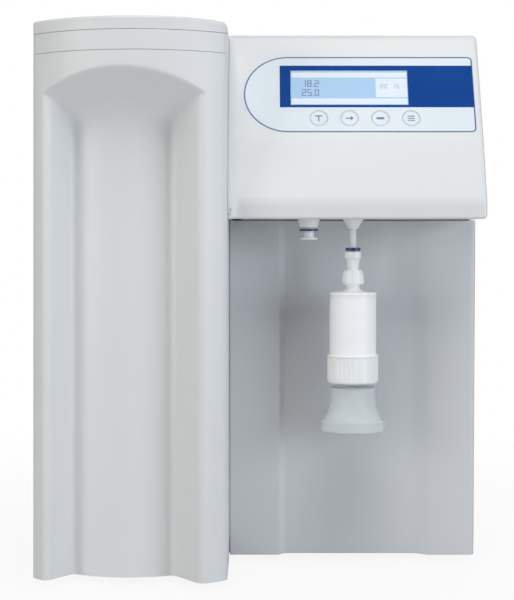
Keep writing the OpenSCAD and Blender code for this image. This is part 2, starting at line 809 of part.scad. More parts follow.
// Clear bell: a flat top with a hub on the spigot, a flaring skirt and a thick rim
module filling_bell() {
    r0 = capsule_d / 2 - 0.6;
    r1 = bell_d / 2;
    rim_h = 11;
    hub_r = spigot_r + 2.2;
    steps = 8;
    skirt = [for (i = [0 : steps]) let (t = i / steps)
        [r0 + (r1 - r0 - 1) * (1 - cos(90 * t)), bell_top - 6 - (bell_h - 6 - rim_h) * sin(90 * t) ]];
    inner = [for (p = skirt) [p[0] - bell_wall, p[1]]];
    color([0.85, 0.92, 0.95, 0.5]) at_filter() turned(concat(
        [[spigot_r + run_gap, bell_top], [r0 - 2, bell_top], [r0, bell_top - 2]],
        skirt,
        [[r1, bell_z + rim_h - 1], [r1, bell_z + 1], [r1 - 1, bell_z], [r1 - 2.6, bell_z], [r1 - 3, bell_z + rim_h - 3]],
        [for (i = [steps : -1 : 1]) inner[i]],
        [[r0 - bell_wall, bell_top - 3], [r0 - bell_wall - 1.5, bell_top - bell_wall], [hub_r, bell_top - bell_wall],
            [hub_r, bell_top - 8], [spigot_r + run_gap, bell_top - 8]]));
}

// ---------- water path inside ----------

module manifold_block() {
    color(white) difference() {
        union() {
            box_at(-inner_x + seam, pillar_x1 - wall, cartridge_y - 34, cartridge_y + 34, manifold_z, manifold_z + manifold_h);
            for (x = cartridge_xs) translate([x, cartridge_y, manifold_z - 8]) rod(24, 9);
        }
        for (x = cartridge_xs) translate([x, cartridge_y, manifold_z - 9]) rod(cartridge_neck_r + run_gap, 27);
    }
}

module cartridge(x, body_colour) {
    r = cartridge_d / 2;
    z = cartridge_z;
    top = z + cartridge_h;
    color(body_colour) translate([x, cartridge_y, 0]) turned([[0, z], [r - 6, z], [r, z + 6], [r, top - 30],
        [r - 2, top - 28], [r - 2, top - 12], [22, top], [cartridge_neck_r, top], [cartridge_neck_r, top + 28],
        [0, top + 28]]);
}

module pretreatment_cartridge() { cartridge(cartridge_xs[0], white); }
module ultrapure_cartridge() { cartridge(cartridge_xs[1], "#d9e2ee"); }

module cartridge_shelf() {
    color(metal) difference() {
        union() {
            box_at(-inner_x + seam, pillar_x1 - wall, cartridge_y - 42, cartridge_y + 42, shelf_z, shelf_z + 3);
            for (x = cartridge_xs) translate([x, cartridge_y, shelf_z]) rod(cartridge_d / 2 + 2.8, 16);
            box_at(pillar_x1 - wall - 3, pillar_x1 - wall, cartridge_y - 42, cartridge_y + 42, shelf_z, shelf_z + 30);
            box_at(-inner_x + seam, -inner_x + seam + 2, cartridge_y - 42, cartridge_y + 42, floor_z + 15, shelf_z + eps);
        }
        for (x = cartridge_xs) translate([x, cartridge_y, shelf_z + 3]) rod(cartridge_d / 2 + 0.5, 40);
    }
}

module ro_module() {
    z = floor_z + 70;
    color(white) {
        translate([ro_x, ro_y, z]) {
            rod(ro_d / 2, ro_h);
            for (t = [-10, ro_h - 22]) translate([0, 0, t]) rod(ro_d / 2 + 5, 32);
        }
        // clamps to the middle wall
        for (t = [40, ro_h - 60]) difference() {
            union() {
                translate([ro_x, ro_y, z + t]) rod(ro_d / 2 + 4, 16);
                box_at(ro_x + ro_d / 2 - 4, pillar_x1 - wall, ro_y - 10, ro_y + 10, z + t, z + t + 16);
            }
        }
    }
}

module equipment_plate() {
    color(metal) difference() {
        union() {
            box_at(pillar_x1 + seam, inner_x - wall - 2 * seam, at(plate_reach), at(plate_reach - 2), floor_z,
                head_z + 150);
            box_at(pillar_x1 + seam, inner_x - 20, at(plate_reach), at(plate_reach - 20), floor_z, floor_z + 2);
        }
        translate([filter_x - 60, at(plate_reach) - 1, head_z + 6]) rod_y(12, 5);
    }
}

module booster_pump() {
    head_d = pump_d;
    y0 = at(plate_reach - 22);
    color(dark) {
        translate([pump_x, y0, pump_z]) rod_y(head_d / 2, 44);
        for (s = [-1, 1]) translate([pump_x + s * 18, y0 + 22, pump_z]) rod(6, head_d / 2 + 12);
    }
}

module pump_motor() {
    y0 = at(plate_reach - 22) + 44;
    color(metal) {
        translate([pump_x, y0, pump_z]) rod_y(pump_d / 2 - 4, 84);
        box_at(pump_x - 26, pump_x + 26, y0 + 10, y0 + 70, floor_z, floor_z + 14);
    }
}

module recirculation_pump() {
    x = pump_x + 84;
    y0 = at(plate_reach - 30);
    z = floor_z + 30;
    color(dark) {
        translate([x, y0, z]) rod_y(24, 90);
        translate([x, y0 - 8, z]) rod_y(15, 9);
        box_at(x - 20, x + 20, y0 + 20, y0 + 70, floor_z, z - 14);
    }
}

module uv_housing() {
    z = floor_z + 110;
    color(metal) difference() {
        union() {
            translate([uv_x, uv_y, z]) rod(uv_d / 2, uv_h);
            for (t = [-6, uv_h - 12]) translate([uv_x, uv_y, z + t]) rod(uv_d / 2 + 4, 18);
            for (t = [50, uv_h - 66]) box_at(uv_x - 12, uv_x + 12, at(plate_reach - 2), uv_y, z + t, z + t + 16);
        }
        translate([uv_x, uv_y, z + 8]) rod(uv_d / 2 - 6, uv_h + 20);
    }
}

module uv_lamp() {
    z = floor_z + 118;
    color("#eef4ff") {
        translate([uv_x, uv_y, z]) rod(8, uv_h - 2);
        translate([uv_x, uv_y, z + uv_h - 24]) rod(uv_d / 2 - 6.1, 12);
        translate([uv_x, uv_y, z + uv_h - 10]) rod(14, 18);
    }
}

module solenoid_valves() {
    color(dark) for (i = [0, 1]) translate([pillar_x1 + 56 + i * 50, at(plate_reach - 2), floor_z + 136]) {
        translate([-16, 0, 0]) cube([32, 30, 30]);
        translate([0, 18, 30 - eps]) rod(11, 26);
        translate([-24, 15, 12]) rotate([0, 90, 0]) cylinder(r = 5, h = 48);
    }
}

module power_supply() {
    color(metal) box_at(pillar_x1 + 20, pillar_x1 + 130, at(plate_reach - 2), at(plate_reach - 44), floor_z + 230, floor_z + 390);
}

module main_board() {
    z0 = head_z + 10;
    color(board_green) {
        box_at(filter_x - 70, filter_x + 70, at(plate_reach + 10), at(plate_reach + 8.4), z0, z0 + 120);
        for (x = [filter_x - 64, filter_x + 64]) for (z = [z0 + 6, z0 + 114])
            translate([x, at(plate_reach + 8.4) - eps, z]) rod_y(3, 8.4 + eps);
        box_at(filter_x - 40, filter_x - 10, at(plate_reach + 14), at(plate_reach + 10) + eps, z0 + 50, z0 + 80);
    }
}

// ---------- rear ----------

module water_ports() {
    color(dark) for (x = port_xs) translate([x, y_back, port_z]) rotate([-90, 0, 0]) difference() {
        union() {
            translate([0, 0, -22]) rod(6, 23);
            translate([0, 0, 0]) rod(9, 9);
            translate([0, 0, -10]) cylinder(r = 9.6, h = 8, $fn = 6);
        }
        translate([0, 0, -6]) rod(4.6 + run_gap, 20);
        translate([0, 0, -23]) rod(tube_d / 2 + 0.1, 20);
    }
}

module port_collet(i) {
    color("#aeb4bb") translate([port_xs[i], y_back, port_z]) rotate([-90, 0, 0])
        turned([[tube_d / 2 + run_gap, -3], [4.6, -3], [4.6, port_reach - 2], [6.6, port_reach - 2], [6.6, port_reach],
            [tube_d / 2 + run_gap, port_reach]]);
}

module feed_collet() { port_collet(0); }
module reject_collet() { port_collet(1); }
module tank_collet() { port_collet(2); }

module mains_inlet() {
    color(dark) {
        difference() {
            union() {
                box_at(inlet_x - 24, inlet_x + 24, y_back, y_back + 3, inlet_z - 13, inlet_z + 13);
                box_at(inlet_x - 14, inlet_x + 14, y_back - 22, y_back + 4, inlet_z - 10, inlet_z + 10);
            }
            translate([inlet_x, y_back - 16, inlet_z]) rotate([-90, 0, 0]) linear_extrude(30)
                polygon([[-12, -4], [-8, -8], [8, -8], [12, -4], [12, 8], [-12, 8]]);
        }
    }
    color(metal) for (p = [[-7, -2], [7, -2], [0, 2]])
        box_at(inlet_x + p[0] - 1, inlet_x + p[0] + 1, y_back - 17, y_back - 1, inlet_z - p[1] - 2, inlet_z - p[1] + 2);
}

rocker_r = 9;
rocker_tilt = 10;

module switch_frame() {
    color(dark) difference() {
        union() {
            box_at(switch_x - 11, switch_x + 11, y_back, y_back + 1.6, inlet_z - 15, inlet_z + 15);
            box_at(switch_x - 9, switch_x + 9, y_back - 16, y_back + eps, inlet_z - 13, inlet_z + 13);
        }
        translate([switch_x - 6.3, y_back - 2, inlet_z]) rotate([0, 90, 0]) cylinder(r = rocker_r + seam, h = 12.6);
        box_at(switch_x - 6.3, switch_x + 6.3, y_back - 2, y_back + 3, inlet_z - rocker_r - seam, inlet_z + rocker_r + seam);
        translate([switch_x - 8, y_back - 2, inlet_z]) rotate([0, 90, 0]) cylinder(r = 1.5 + run_gap, h = 16);
    }
}

module switch_rocker() {
    color("#26282b") translate([switch_x, y_back - 2, inlet_z]) rotate([rocker_tilt, 0, 0]) {
        rise = rocker_r * tan(rocker_tilt);
        rotate([90, 0, 90]) translate([0, 0, -6]) linear_extrude(12) intersection() {
            circle(r = rocker_r);
            polygon([[-5, -rocker_r], [3 + rise, -rocker_r], [3, 0], [3 + rise, rocker_r], [-5, rocker_r]]);
        }
        translate([-7.8, 0, 0]) rotate([0, 90, 0]) cylinder(r = 1.5, h = 15.6);
    }
}

module fuse_holder() {
    color(dark) translate([fuse_x, y_back, inlet_z]) rotate([-90, 0, 0]) {
        translate([0, 0, -30]) rod(6, 30 + eps);
        rod(8, 2);
        rod(6.5, 8);
    }
}

base_tray();
rubber_feet();
left_side_cover();
right_side_cover();
middle_wall();
rear_panel();
top_cover();
dispensing_panel();
head_cover();
head_underside();
pillar_header();
pillar_cap();
pillar_door();
hinge_pins();
door_catch();
door_strike();
graphic_film();
display_window();
lcd_module();
key_1();
key_2();
key_3();
key_4();
key_board();
main_board();
equipment_plate();
left_outlet();
left_clip();
left_collet();
right_outlet();
dispense_tube();
tube_clip();
inlet_fitting();
union_nut();
capsule_body();
capsule_membrane();
capsule_collar();
outlet_spigot();
filling_bell();
manifold_block();
pretreatment_cartridge();
ultrapure_cartridge();
cartridge_shelf();
ro_module();
booster_pump();
pump_motor();
recirculation_pump();
uv_housing();
uv_lamp();
solenoid_valves();
power_supply();
water_ports();
feed_collet();
reject_collet();
tank_collet();
mains_inlet();
switch_frame();
switch_rocker();
fuse_holder();
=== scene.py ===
# %% [markdown]
# # Dressing a bench-top ultrapure water system
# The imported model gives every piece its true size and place. This notebook gives each piece the look of
# the real one: moulded light grey covers, a printed control film, white water fittings and a clear
# filling bell. Flat and boxy pieces are refined copies of the frame's own pieces. The fluted door, the
# head and the turned fittings are modelled anew, because their soft curves make the product.

# %% Load the fixed frame
import json
import math

import bmesh
import bpy
from mathutils import Matrix, Vector

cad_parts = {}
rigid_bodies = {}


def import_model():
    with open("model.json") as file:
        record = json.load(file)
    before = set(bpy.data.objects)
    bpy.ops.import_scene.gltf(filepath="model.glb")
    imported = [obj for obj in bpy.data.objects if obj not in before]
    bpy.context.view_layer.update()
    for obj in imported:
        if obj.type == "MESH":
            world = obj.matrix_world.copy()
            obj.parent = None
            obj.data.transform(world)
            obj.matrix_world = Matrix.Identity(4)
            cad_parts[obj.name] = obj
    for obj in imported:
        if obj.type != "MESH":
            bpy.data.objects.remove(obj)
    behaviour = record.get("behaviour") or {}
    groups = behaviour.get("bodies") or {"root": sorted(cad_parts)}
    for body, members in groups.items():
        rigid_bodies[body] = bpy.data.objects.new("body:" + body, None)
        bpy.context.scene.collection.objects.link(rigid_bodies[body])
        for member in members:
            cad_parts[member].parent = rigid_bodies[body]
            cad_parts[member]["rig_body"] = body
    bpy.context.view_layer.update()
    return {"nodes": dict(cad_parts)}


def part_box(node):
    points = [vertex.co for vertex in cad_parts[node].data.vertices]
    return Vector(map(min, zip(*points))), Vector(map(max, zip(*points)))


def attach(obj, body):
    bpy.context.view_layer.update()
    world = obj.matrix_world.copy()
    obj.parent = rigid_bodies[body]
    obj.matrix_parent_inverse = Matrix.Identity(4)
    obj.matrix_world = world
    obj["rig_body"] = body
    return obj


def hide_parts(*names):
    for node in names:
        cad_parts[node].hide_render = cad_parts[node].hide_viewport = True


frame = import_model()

# %% [markdown]
# ## Places
# Real products are drawn in millimetres, and Blender counts in metres, so the shapes below are drawn in
# millimetres and scaled once at the end. "Reach" is how far a point stands in front of the dispensing
# panel, which is the plane that the whole front is measured from.

# %% Units and the shared planes
MM = 0.001


def box_mm(node):
    """Lowest and highest corner of a node, in millimetres."""
    low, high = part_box(node)
    return low / MM, high / MM


panel_low, panel_high = box_mm("dispensing_panel")
door_low, door_high = box_mm("pillar_door")
head_low = box_mm("head_cover")[0]
cap_low, cap_high = box_mm("pillar_cap")
header_low, header_high = box_mm("pillar_header")
body_left, body_right = door_low.x, panel_high.x
pillar_right = door_high.x
foot_top = door_low.z
body_top = cap_high.z
back_y = cap_high.y
face_y = panel_low.y


def at(reach):
    """Y of a point that stands this far in front of the dispensing panel."""
    return face_y - reach


print("dispensing panel at y", round(face_y, 2), "mm")
print("pillar from x", round(body_left, 1), "to", round(pillar_right, 1), "mm")

# %% [markdown]
# ## Camera
# The photograph was taken almost straight from the front, with the lens a little above half height: the
# cap shows no top and the foot shows no floor. A long lens keeps the sides parallel. The camera stands
# 1.5 m in front of the dispensing panel, where one millimetre of the panel is about one pixel of the
# photograph.

# %% Camera
CAMERA_REACH = 1500
CAMERA_X = -4
CAMERA_Z = 321.5
CAMERA_LENS = 90.5
CAMERA_PITCH = 2.29

camera_data = bpy.data.cameras.new("front_camera")
camera_data.sensor_width = 36
camera_data.lens = CAMERA_LENS
camera_data.clip_end = 50
camera = bpy.data.objects.new("front_camera", camera_data)
camera.location = Vector((CAMERA_X, at(CAMERA_REACH), CAMERA_Z)) * MM
camera.rotation_euler = (math.radians(90 - CAMERA_PITCH), 0, 0)
bpy.context.collection.objects.link(camera)
bpy.context.scene.camera = camera

# %% [markdown]
# ## Light and floor
# A cut-out product photograph has soft light from a ceiling of softboxes and a white sweep behind. Here
# one large area light hangs above the front, a cool one stands at the right, a neutral one at the left,
# and one more lights the rear. The world is a pale grey that fills the shadows, and reads as plain white
# where the camera sees it. The floor is a pale disc that turns white with distance, so that no horizon
# line shows. Only the camera sees this glow, because a glowing floor would light the flute's ceiling from
# below.

# %% Lights
bpy.context.scene.view_settings.view_transform = "Standard"
NEUTRAL = (1.0, 0.99, 0.97)
COOL = (0.86, 0.92, 1.0)
MIDDLE = (0.0, -0.1, 0.27)


def softbox(name, place, size, power, colour):
    """A square area light that looks at the middle of the machine, all in metres."""
    data = bpy.data.lights.new(name, "AREA")
    data.size = size
    data.energy = power
    data.color = colour
    light = bpy.data.objects.new(name, data)
    light.location = place
    light.rotation_euler = (Vector(MIDDLE) - Vector(place)).to_track_quat("-Z", "Y").to_euler()
    bpy.context.collection.objects.link(light)


softbox("ceiling_softbox", (0.05, -1.0, 2.2), 1.3, 25, NEUTRAL)
softbox("right_softbox", (1.9, -1.5, 0.6), 1.0, 22, COOL)
softbox("left_softbox", (-1.9, -1.6, 0.7), 1.0, 17, NEUTRAL)
softbox("rear_softbox", (0.3, 2.2, 1.6), 1.4, 22, NEUTRAL)

# %% A helper for shader nodes
def add_node(tree, kind, **constants):
    """A new node. Its constants are given by socket name, with _ for a space."""
    node = tree.nodes.new("ShaderNode" + kind)
    for socket, value in constants.items():
        node.inputs[socket.replace("_", " ")].default_value = value
    return node


# %% World
FILL = 0.17
WHITE = (1, 1, 1, 1)
world = bpy.data.worlds.new("studio")
bpy.context.scene.world = world
world.use_nodes = True
sky = world.node_tree
sky.nodes.clear()
sky_out = add_node(sky, "OutputWorld")
sky_mix = add_node(sky, "MixShader")
sky_path = add_node(sky, "LightPath")
sky_fill = add_node(sky, "Background", Color=(0.97, 0.98, 1.0, 1), Strength=FILL)
sky_seen = add_node(sky, "Background", Color=WHITE, Strength=1.0)
sky.links.new(sky_path.outputs["Is Camera Ray"], sky_mix.inputs["Fac"])
sky.links.new(sky_fill.outputs[0], sky_mix.inputs[1])
sky.links.new(sky_seen.outputs[0], sky_mix.inputs[2])
sky.links.new(sky_mix.outputs[0], sky_out.inputs["Surface"])

# %% Floor
FLOOR_RADIUS = 12
FLOOR_DROP = 0.0004
floor_mesh = bpy.data.meshes.new("studio_floor")
floor_bm = bmesh.new()
bmesh.ops.create_circle(floor_bm, cap_ends=True, segments=96, radius=FLOOR_RADIUS)
floor_bm.to_mesh(floor_mesh)
floor_bm.free()
floor = bpy.data.objects.new("studio_floor", floor_mesh)
floor.location = (0, 0, -FLOOR_DROP)
bpy.context.collection.objects.link(floor)

floor_paint = bpy.data.materials.new("floor_paint")
floor_paint.use_nodes = True
tree = floor_paint.node_tree
paint = tree.nodes["Principled BSDF"]
paint.inputs["Base Color"].default_value = (0.62, 0.62, 0.62, 1)
paint.inputs["Roughness"].default_value = 0.6
glow = add_node(tree, "Emission", Color=WHITE)
place = add_node(tree, "TexCoord")
length = add_node(tree, "VectorMath")
length.operation = "LENGTH"
fade = add_node(tree, "MapRange", From_Min=0.15, From_Max=0.9, To_Min=0.9)
seen = add_node(tree, "LightPath")
only_seen = add_node(tree, "Math")
only_seen.operation = "MULTIPLY"
blend = add_node(tree, "MixShader")
tree.links.new(place.outputs["Object"], length.inputs[0])
tree.links.new(length.outputs["Value"], fade.inputs["Value"])
tree.links.new(fade.outputs["Result"], only_seen.inputs[0])
tree.links.new(seen.outputs["Is Camera Ray"], only_seen.inputs[1])
tree.links.new(only_seen.outputs["Value"], blend.inputs["Fac"])
tree.links.new(paint.outputs["BSDF"], blend.inputs[1])
tree.links.new(glow.outputs["Emission"], blend.inputs[2])
tree.links.new(blend.outputs[0], tree.nodes["Material Output"].inputs["Surface"])
floor.data.materials.append(floor_paint)

# %% [markdown]
# ## Finishes
# Every finish starts from one Principled shader, and three small functions add what the eye reads as a real
# material: a slow drift of colour, a drift of roughness, and a fine relief. They read Object coordinates,
# which are metres here, so a scale of 1000 makes grains of about a millimetre.

# %% A shader, and the helpers that add detail to it
def shader_of(material):
    return material.node_tree.nodes["Principled BSDF"]


def finish(name, colour, roughness, **constants):
    """A Principled material. Further sockets are given by name, with _ for a space."""
    material = bpy.data.materials.new(name)
    material.use_nodes = True
    shader = shader_of(material)
    shader.inputs["Base Color"].default_value = (*colour, 1)
    shader.inputs["Roughness"].default_value = roughness
    for socket, value in constants.items():
        shader.inputs[socket.replace("_", " ")].default_value = value
    return material


def noise(material, scale, detail=2.0, stretch=(1, 1, 1)):
    """A noise texture on Object coordinates, stretched along an axis where the finish is brushed."""
    tree = material.node_tree
    place = add_node(tree, "TexCoord")
    turn = add_node(tree, "Mapping", Scale=stretch)
    texture = add_node(tree, "TexNoise", Scale=scale, Detail=detail)
    tree.links.new(place.outputs["Object"], turn.inputs["Vector"])
    tree.links.new(turn.outputs["Vector"], texture.inputs["Vector"])
    return texture


def drift_colour(material, scale, other, detail=2.0, stretch=(1, 1, 1)):
    """Lets the base colour wander between its own value and another."""
    tree, shader = material.node_tree, shader_of(material)
    mix = add_node(tree, "Mix")
    mix.data_type = "RGBA"
    mix.inputs["A"].default_value = shader.inputs["Base Color"].default_value
    mix.inputs["B"].default_value = (*other, 1)
    texture = noise(material, scale, detail, stretch)
    tree.links.new(texture.outputs["Fac"], mix.inputs["Factor"])
    tree.links.new(mix.outputs["Result"], shader.inputs["Base Color"])


def drift_roughness(material, scale, low, high, stretch=(1, 1, 1)):
    """Lets the roughness wander between two values."""
    tree = material.node_tree
    spread = add_node(tree, "MapRange", To_Min=low, To_Max=high)
    texture = noise(material, scale, 3.0, stretch)
    tree.links.new(texture.outputs["Fac"], spread.inputs["Value"])
    tree.links.new(spread.outputs["Result"], shader_of(material).inputs["Roughness"])


def relief(material, scale, height_mm):
    """A fine bump of a given height. A second call adds its bump to the first."""
    tree, shader = material.node_tree, shader_of(material)
    bump = add_node(tree, "Bump", Distance=height_mm * MM)
    texture = noise(material, scale)
    tree.links.new(texture.outputs["Fac"], bump.inputs["Height"])
    if shader.inputs["Normal"].is_linked:
        tree.links.new(shader.inputs["Normal"].links[0].from_socket, bump.inputs["Normal"])
    tree.links.new(bump.outputs["Normal"], shader.inputs["Normal"])


# %% [markdown]
# The casing is light grey ABS from a spark-eroded mould. Up close it has a fine even grain, and over a
# hand's width the surface swells a little where ribs stand behind it. The dispensing panel is the same
# plastic in a darker grey.

# %% Moulded plastics
casing = finish("casing_plastic", (0.70, 0.715, 0.725), 0.42, Specular_IOR_Level=0.4)
drift_colour(casing, 6, (0.73, 0.74, 0.745))
drift_roughness(casing, 40, 0.38, 0.48)
relief(casing, 1400, 0.012)
relief(casing, 14, 0.10)

panel_plastic = finish("panel_plastic", (0.60, 0.62, 0.64), 0.45, Specular_IOR_Level=0.4)
drift_colour(panel_plastic, 5, (0.63, 0.645, 0.66))
drift_roughness(panel_plastic, 50, 0.40, 0.52)
relief(panel_plastic, 1200, 0.015)
relief(panel_plastic, 10, 0.08)

white_plastic = finish("white_fitting_plastic", (0.86, 0.875, 0.885), 0.32)
drift_colour(white_plastic, 60, (0.89, 0.90, 0.905))
drift_roughness(white_plastic, 300, 0.26, 0.36)
relief(white_plastic, 2500, 0.004)

natural_plastic = finish("milky_plastic", (0.84, 0.86, 0.86), 0.30, Transmission_Weight=0.18)
drift_colour(natural_plastic, 45, (0.88, 0.89, 0.88))
relief(natural_plastic, 900, 0.01)

blue_plastic = finish("blue_clip_plastic", (0.008, 0.035, 0.16), 0.28)
drift_colour(blue_plastic, 80, (0.012, 0.05, 0.20))
relief(blue_plastic, 1800, 0.004)

black_plastic = finish("black_plastic", (0.022, 0.023, 0.025), 0.45)
drift_colour(black_plastic, 40, (0.034, 0.035, 0.038))
relief(black_plastic, 1500, 0.012)

grey_plastic = finish("grey_collet_plastic", (0.34, 0.37, 0.40), 0.30)
drift_colour(grey_plastic, 70, (0.38, 0.41, 0.44))
relief(grey_plastic, 2000, 0.005)

rubber = finish("foot_rubber", (0.018, 0.018, 0.019), 0.85)
drift_colour(rubber, 120, (0.03, 0.03, 0.031))
relief(rubber, 900, 0.03)

# %% [markdown]
# Most metal pieces are hidden behind covers. The hinge pins and the strike of the catch show when the
# door is open. Powder coat has an orange-peel relief. Steel and aluminium are brushed: the noise is
# squeezed along one axis, which makes streaks.

# %% Metals, circuit boards and glass
powder_coat = finish("powder_coated_sheet", (0.55, 0.56, 0.58), 0.5)
drift_colour(powder_coat, 20, (0.58, 0.59, 0.61))
relief(powder_coat, 700, 0.02)

brushed_steel = finish("brushed_steel", (0.56, 0.57, 0.58), 0.3, Metallic=1.0)
drift_colour(brushed_steel, 90, (0.62, 0.63, 0.64), stretch=(8, 8, 0.4))
drift_roughness(brushed_steel, 160, 0.22, 0.4, stretch=(8, 8, 0.4))

aluminium = finish("plain_aluminium", (0.66, 0.67, 0.68), 0.38, Metallic=1.0)
drift_colour(aluminium, 70, (0.72, 0.73, 0.74), stretch=(0.5, 6, 6))
drift_roughness(aluminium, 140, 0.3, 0.48, stretch=(0.5, 6, 6))

solder_mask = finish("green_solder_mask", (0.018, 0.11, 0.05), 0.25)
drift_colour(solder_mask, 260, (0.03, 0.16, 0.075), detail=6)
relief(solder_mask, 1500, 0.01)

lamp_glass = finish("lamp_glass", (0.92, 0.95, 1.0), 0.05, Transmission_Weight=0.85, IOR=1.46)
drift_colour(lamp_glass, 30, (0.86, 0.91, 1.0))

clear_plastic = finish("clear_bell_plastic", (0.96, 0.98, 0.985), 0.06, Transmission_Weight=0.68, IOR=1.15)
drift_colour(clear_plastic, 25, (0.90, 0.95, 0.96))
drift_roughness(clear_plastic, 120, 0.04, 0.14)
relief(clear_plastic, 60, 0.05)

print("finishes:", len(bpy.data.materials))

# %% [markdown]
# ## From a bmesh to a finished piece
# Each new shape is drawn in a bmesh, in millimetres. One function welds it, turns its faces outward,
# scales it to metres and gives it its material, its body and the nodes it stands for. Edges
# sharper than an angle stay crisp, and a narrow bevel catches the light on them, as every moulded edge
# does.

# %% Making a piece
SHARP = math.radians(32)


def body_of(node):
    return frame["nodes"][node]["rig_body"]


def polish(piece, edge_mm):
    """Rounds the sharp edges of a piece and lets the flat faces keep their shading."""
    if edge_mm:
        bevel = piece.modifiers.new("edge_rounding", "BEVEL")
        bevel.width = edge_mm * MM
        bevel.segments = 3
        bevel.limit_method = "ANGLE"
        bevel.angle_limit = SHARP
        bevel.miter_outer = "MITER_ARC"
    weighted = piece.modifiers.new("weighted_normals", "WEIGHTED_NORMAL")
    weighted.keep_sharp = True


def shade(mesh):
    mesh.shade_smooth()
    mesh.set_sharp_from_angle(angle=SHARP)


def add_wall(piece, thickness):
    """Gives a shell its wall, inward, before its other modifiers."""
    wall = piece.modifiers.new("wall", "SOLIDIFY")
    wall.thickness = thickness * MM
    wall.offset = -1
    wall.use_even_offset = True
    piece.modifiers.move(len(piece.modifiers) - 1, 0)


def make_piece(name, bm, materials, body, replaces=(), edge_mm=0.0, transform=None, outward=True):
    """Turns a bmesh in millimetres into a piece of the model, in metres."""
    bmesh.ops.remove_doubles(bm, verts=bm.verts, dist=0.002)
    if outward:
        bmesh.ops.recalc_face_normals(bm, faces=bm.faces)
    if transform is not None:
        bmesh.ops.transform(bm, matrix=transform, verts=bm.verts)
    bmesh.ops.scale(bm, vec=(MM, MM, MM), verts=bm.verts)
    mesh = bpy.data.meshes.new(name)
    bm.to_mesh(mesh)
    bm.free()
    shade(mesh)
    for material in materials if isinstance(materials, (list, tuple)) else [materials]:
        mesh.materials.append(material)
    piece = bpy.data.objects.new(name, mesh)
    bpy.context.collection.objects.link(piece)
    polish(piece, edge_mm)
    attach(piece, body)
    if replaces:
        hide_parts(*replaces)
    return piece


def cut(piece, cutters):
    """Cuts shapes, given as bmeshes in millimetres, out of a piece. A wall is made real first."""
    tools = []
    for number, bm in enumerate(cutters):
        bmesh.ops.recalc_face_normals(bm, faces=bm.faces)
        bmesh.ops.scale(bm, vec=(MM, MM, MM), verts=bm.verts)
        mesh = bpy.data.meshes.new(f"cutter_{number}")
        bm.to_mesh(mesh)
        bm.free()
        tools.append(bpy.data.objects.new(f"cutter_{number}", mesh))
        bpy.context.collection.objects.link(tools[-1])
    held = [(m.name, m.show_viewport) for m in piece.modifiers]
    for modifier in piece.modifiers:
        modifier.show_viewport = modifier.name == "wall"
    for number, tool in enumerate(tools):
        boolean = piece.modifiers.new(f"cut_{number}", "BOOLEAN")
        boolean.object = tool
        boolean.solver = "EXACT"
    bpy.context.view_layer.update()
    graph = bpy.context.evaluated_depsgraph_get()
    whole = piece.evaluated_get(graph)
    mesh = bpy.data.meshes.new_from_object(whole, preserve_all_data_layers=True, depsgraph=graph)
    for number in range(len(tools)):
        piece.modifiers.remove(piece.modifiers[f"cut_{number}"])
    for name, shown in held:
        piece.modifiers[name].show_viewport = shown
    if "wall" in piece.modifiers:
        piece.modifiers.remove(piece.modifiers["wall"])
    old = piece.data
    name = old.name
    piece.data = mesh
    bpy.data.meshes.remove(old)
    mesh.name = name
    shade(mesh)
    for tool in tools:
        data = tool.data
        bpy.data.objects.remove(tool)
        bpy.data.meshes.remove(data)


# %% [markdown]
# ## Refined copies
# A box-like cover needs no new modelling. Its own mesh arrives as loose triangles, so a copy is welded,
# its flat faces are joined again, and then the bevel can round its edges. The copy stands exactly where
# the node stands.

# %% Refining a node
FLAT = math.radians(0.4)


def refined(node, material, edge_mm):
    """A welded and softened copy of a node, which replaces it."""
    bm = bmesh.new()
    bm.from_mesh(frame["nodes"][node].data)
    bmesh.ops.scale(bm, vec=(1 / MM, 1 / MM, 1 / MM), verts=bm.verts)
    bmesh.ops.remove_doubles(bm, verts=bm.verts, dist=0.004)
    bmesh.ops.dissolve_degenerate(bm, edges=bm.edges, dist=0.002)
    bmesh.ops.dissolve_limit(bm, angle_limit=FLAT, verts=bm.verts, edges=bm.edges)
    make_piece(f"{node}_finished", bm, material, body_of(node), (node,), edge_mm, outward=False)


REFINED = [
    (casing, "casing", 1.2, "left_side_cover right_side_cover top_cover"),
    (casing, "casing", 0.6, "middle_wall head_underside"),
    (panel_plastic, "panel", 0.9, "dispensing_panel"),
    (panel_plastic, "panel", 0.4, "rear_panel"),
    (rubber, "rubber", 0.8, "rubber_feet"),
    (powder_coat, "sheet_steel", 0.4, "base_tray equipment_plate cartridge_shelf"),
    (black_plastic, "black_plastic", 0.4, "door_catch booster_pump recirculation_pump solenoid_valves"),
    (black_plastic, "black_plastic", 0.4, "mains_inlet"),
    (black_plastic, "black_plastic", 0.3, "switch_frame switch_rocker fuse_holder water_ports"),
    (grey_plastic, "grey_plastic", 0.3, "feed_collet reject_collet tank_collet"),
    (brushed_steel, "steel", 0.3, "hinge_pins door_strike"),
    (brushed_steel, "steel", 0.8, "uv_housing pump_motor"),
    (aluminium, "aluminium", 0.8, "power_supply"),
    (solder_mask, "board", 0.15, "lcd_module key_board main_board"),
    (lamp_glass, "lamp_glass", 0.5, "uv_lamp"),
    (white_plastic, "white_plastic", 0.8, "manifold_block pretreatment_cartridge ultrapure_cartridge"),
    (white_plastic, "white_plastic", 0.8, "ro_module"),
]
for material, slot, edge_mm, nodes in REFINED:
    for node in nodes.split():
        refined(node, material, edge_mm)
print("refined pieces:", sum(len(nodes.split()) for *_, nodes in REFINED))

# %% [markdown]
# ## The pillar's outline
# The cap, the header band and the door share one plan: straight sides, round corners and a broad arc in
# front. Each is a ring of stations along that plan, so the three lie flush on each other wherever they
# meet. The whole front leans back by a small angle.

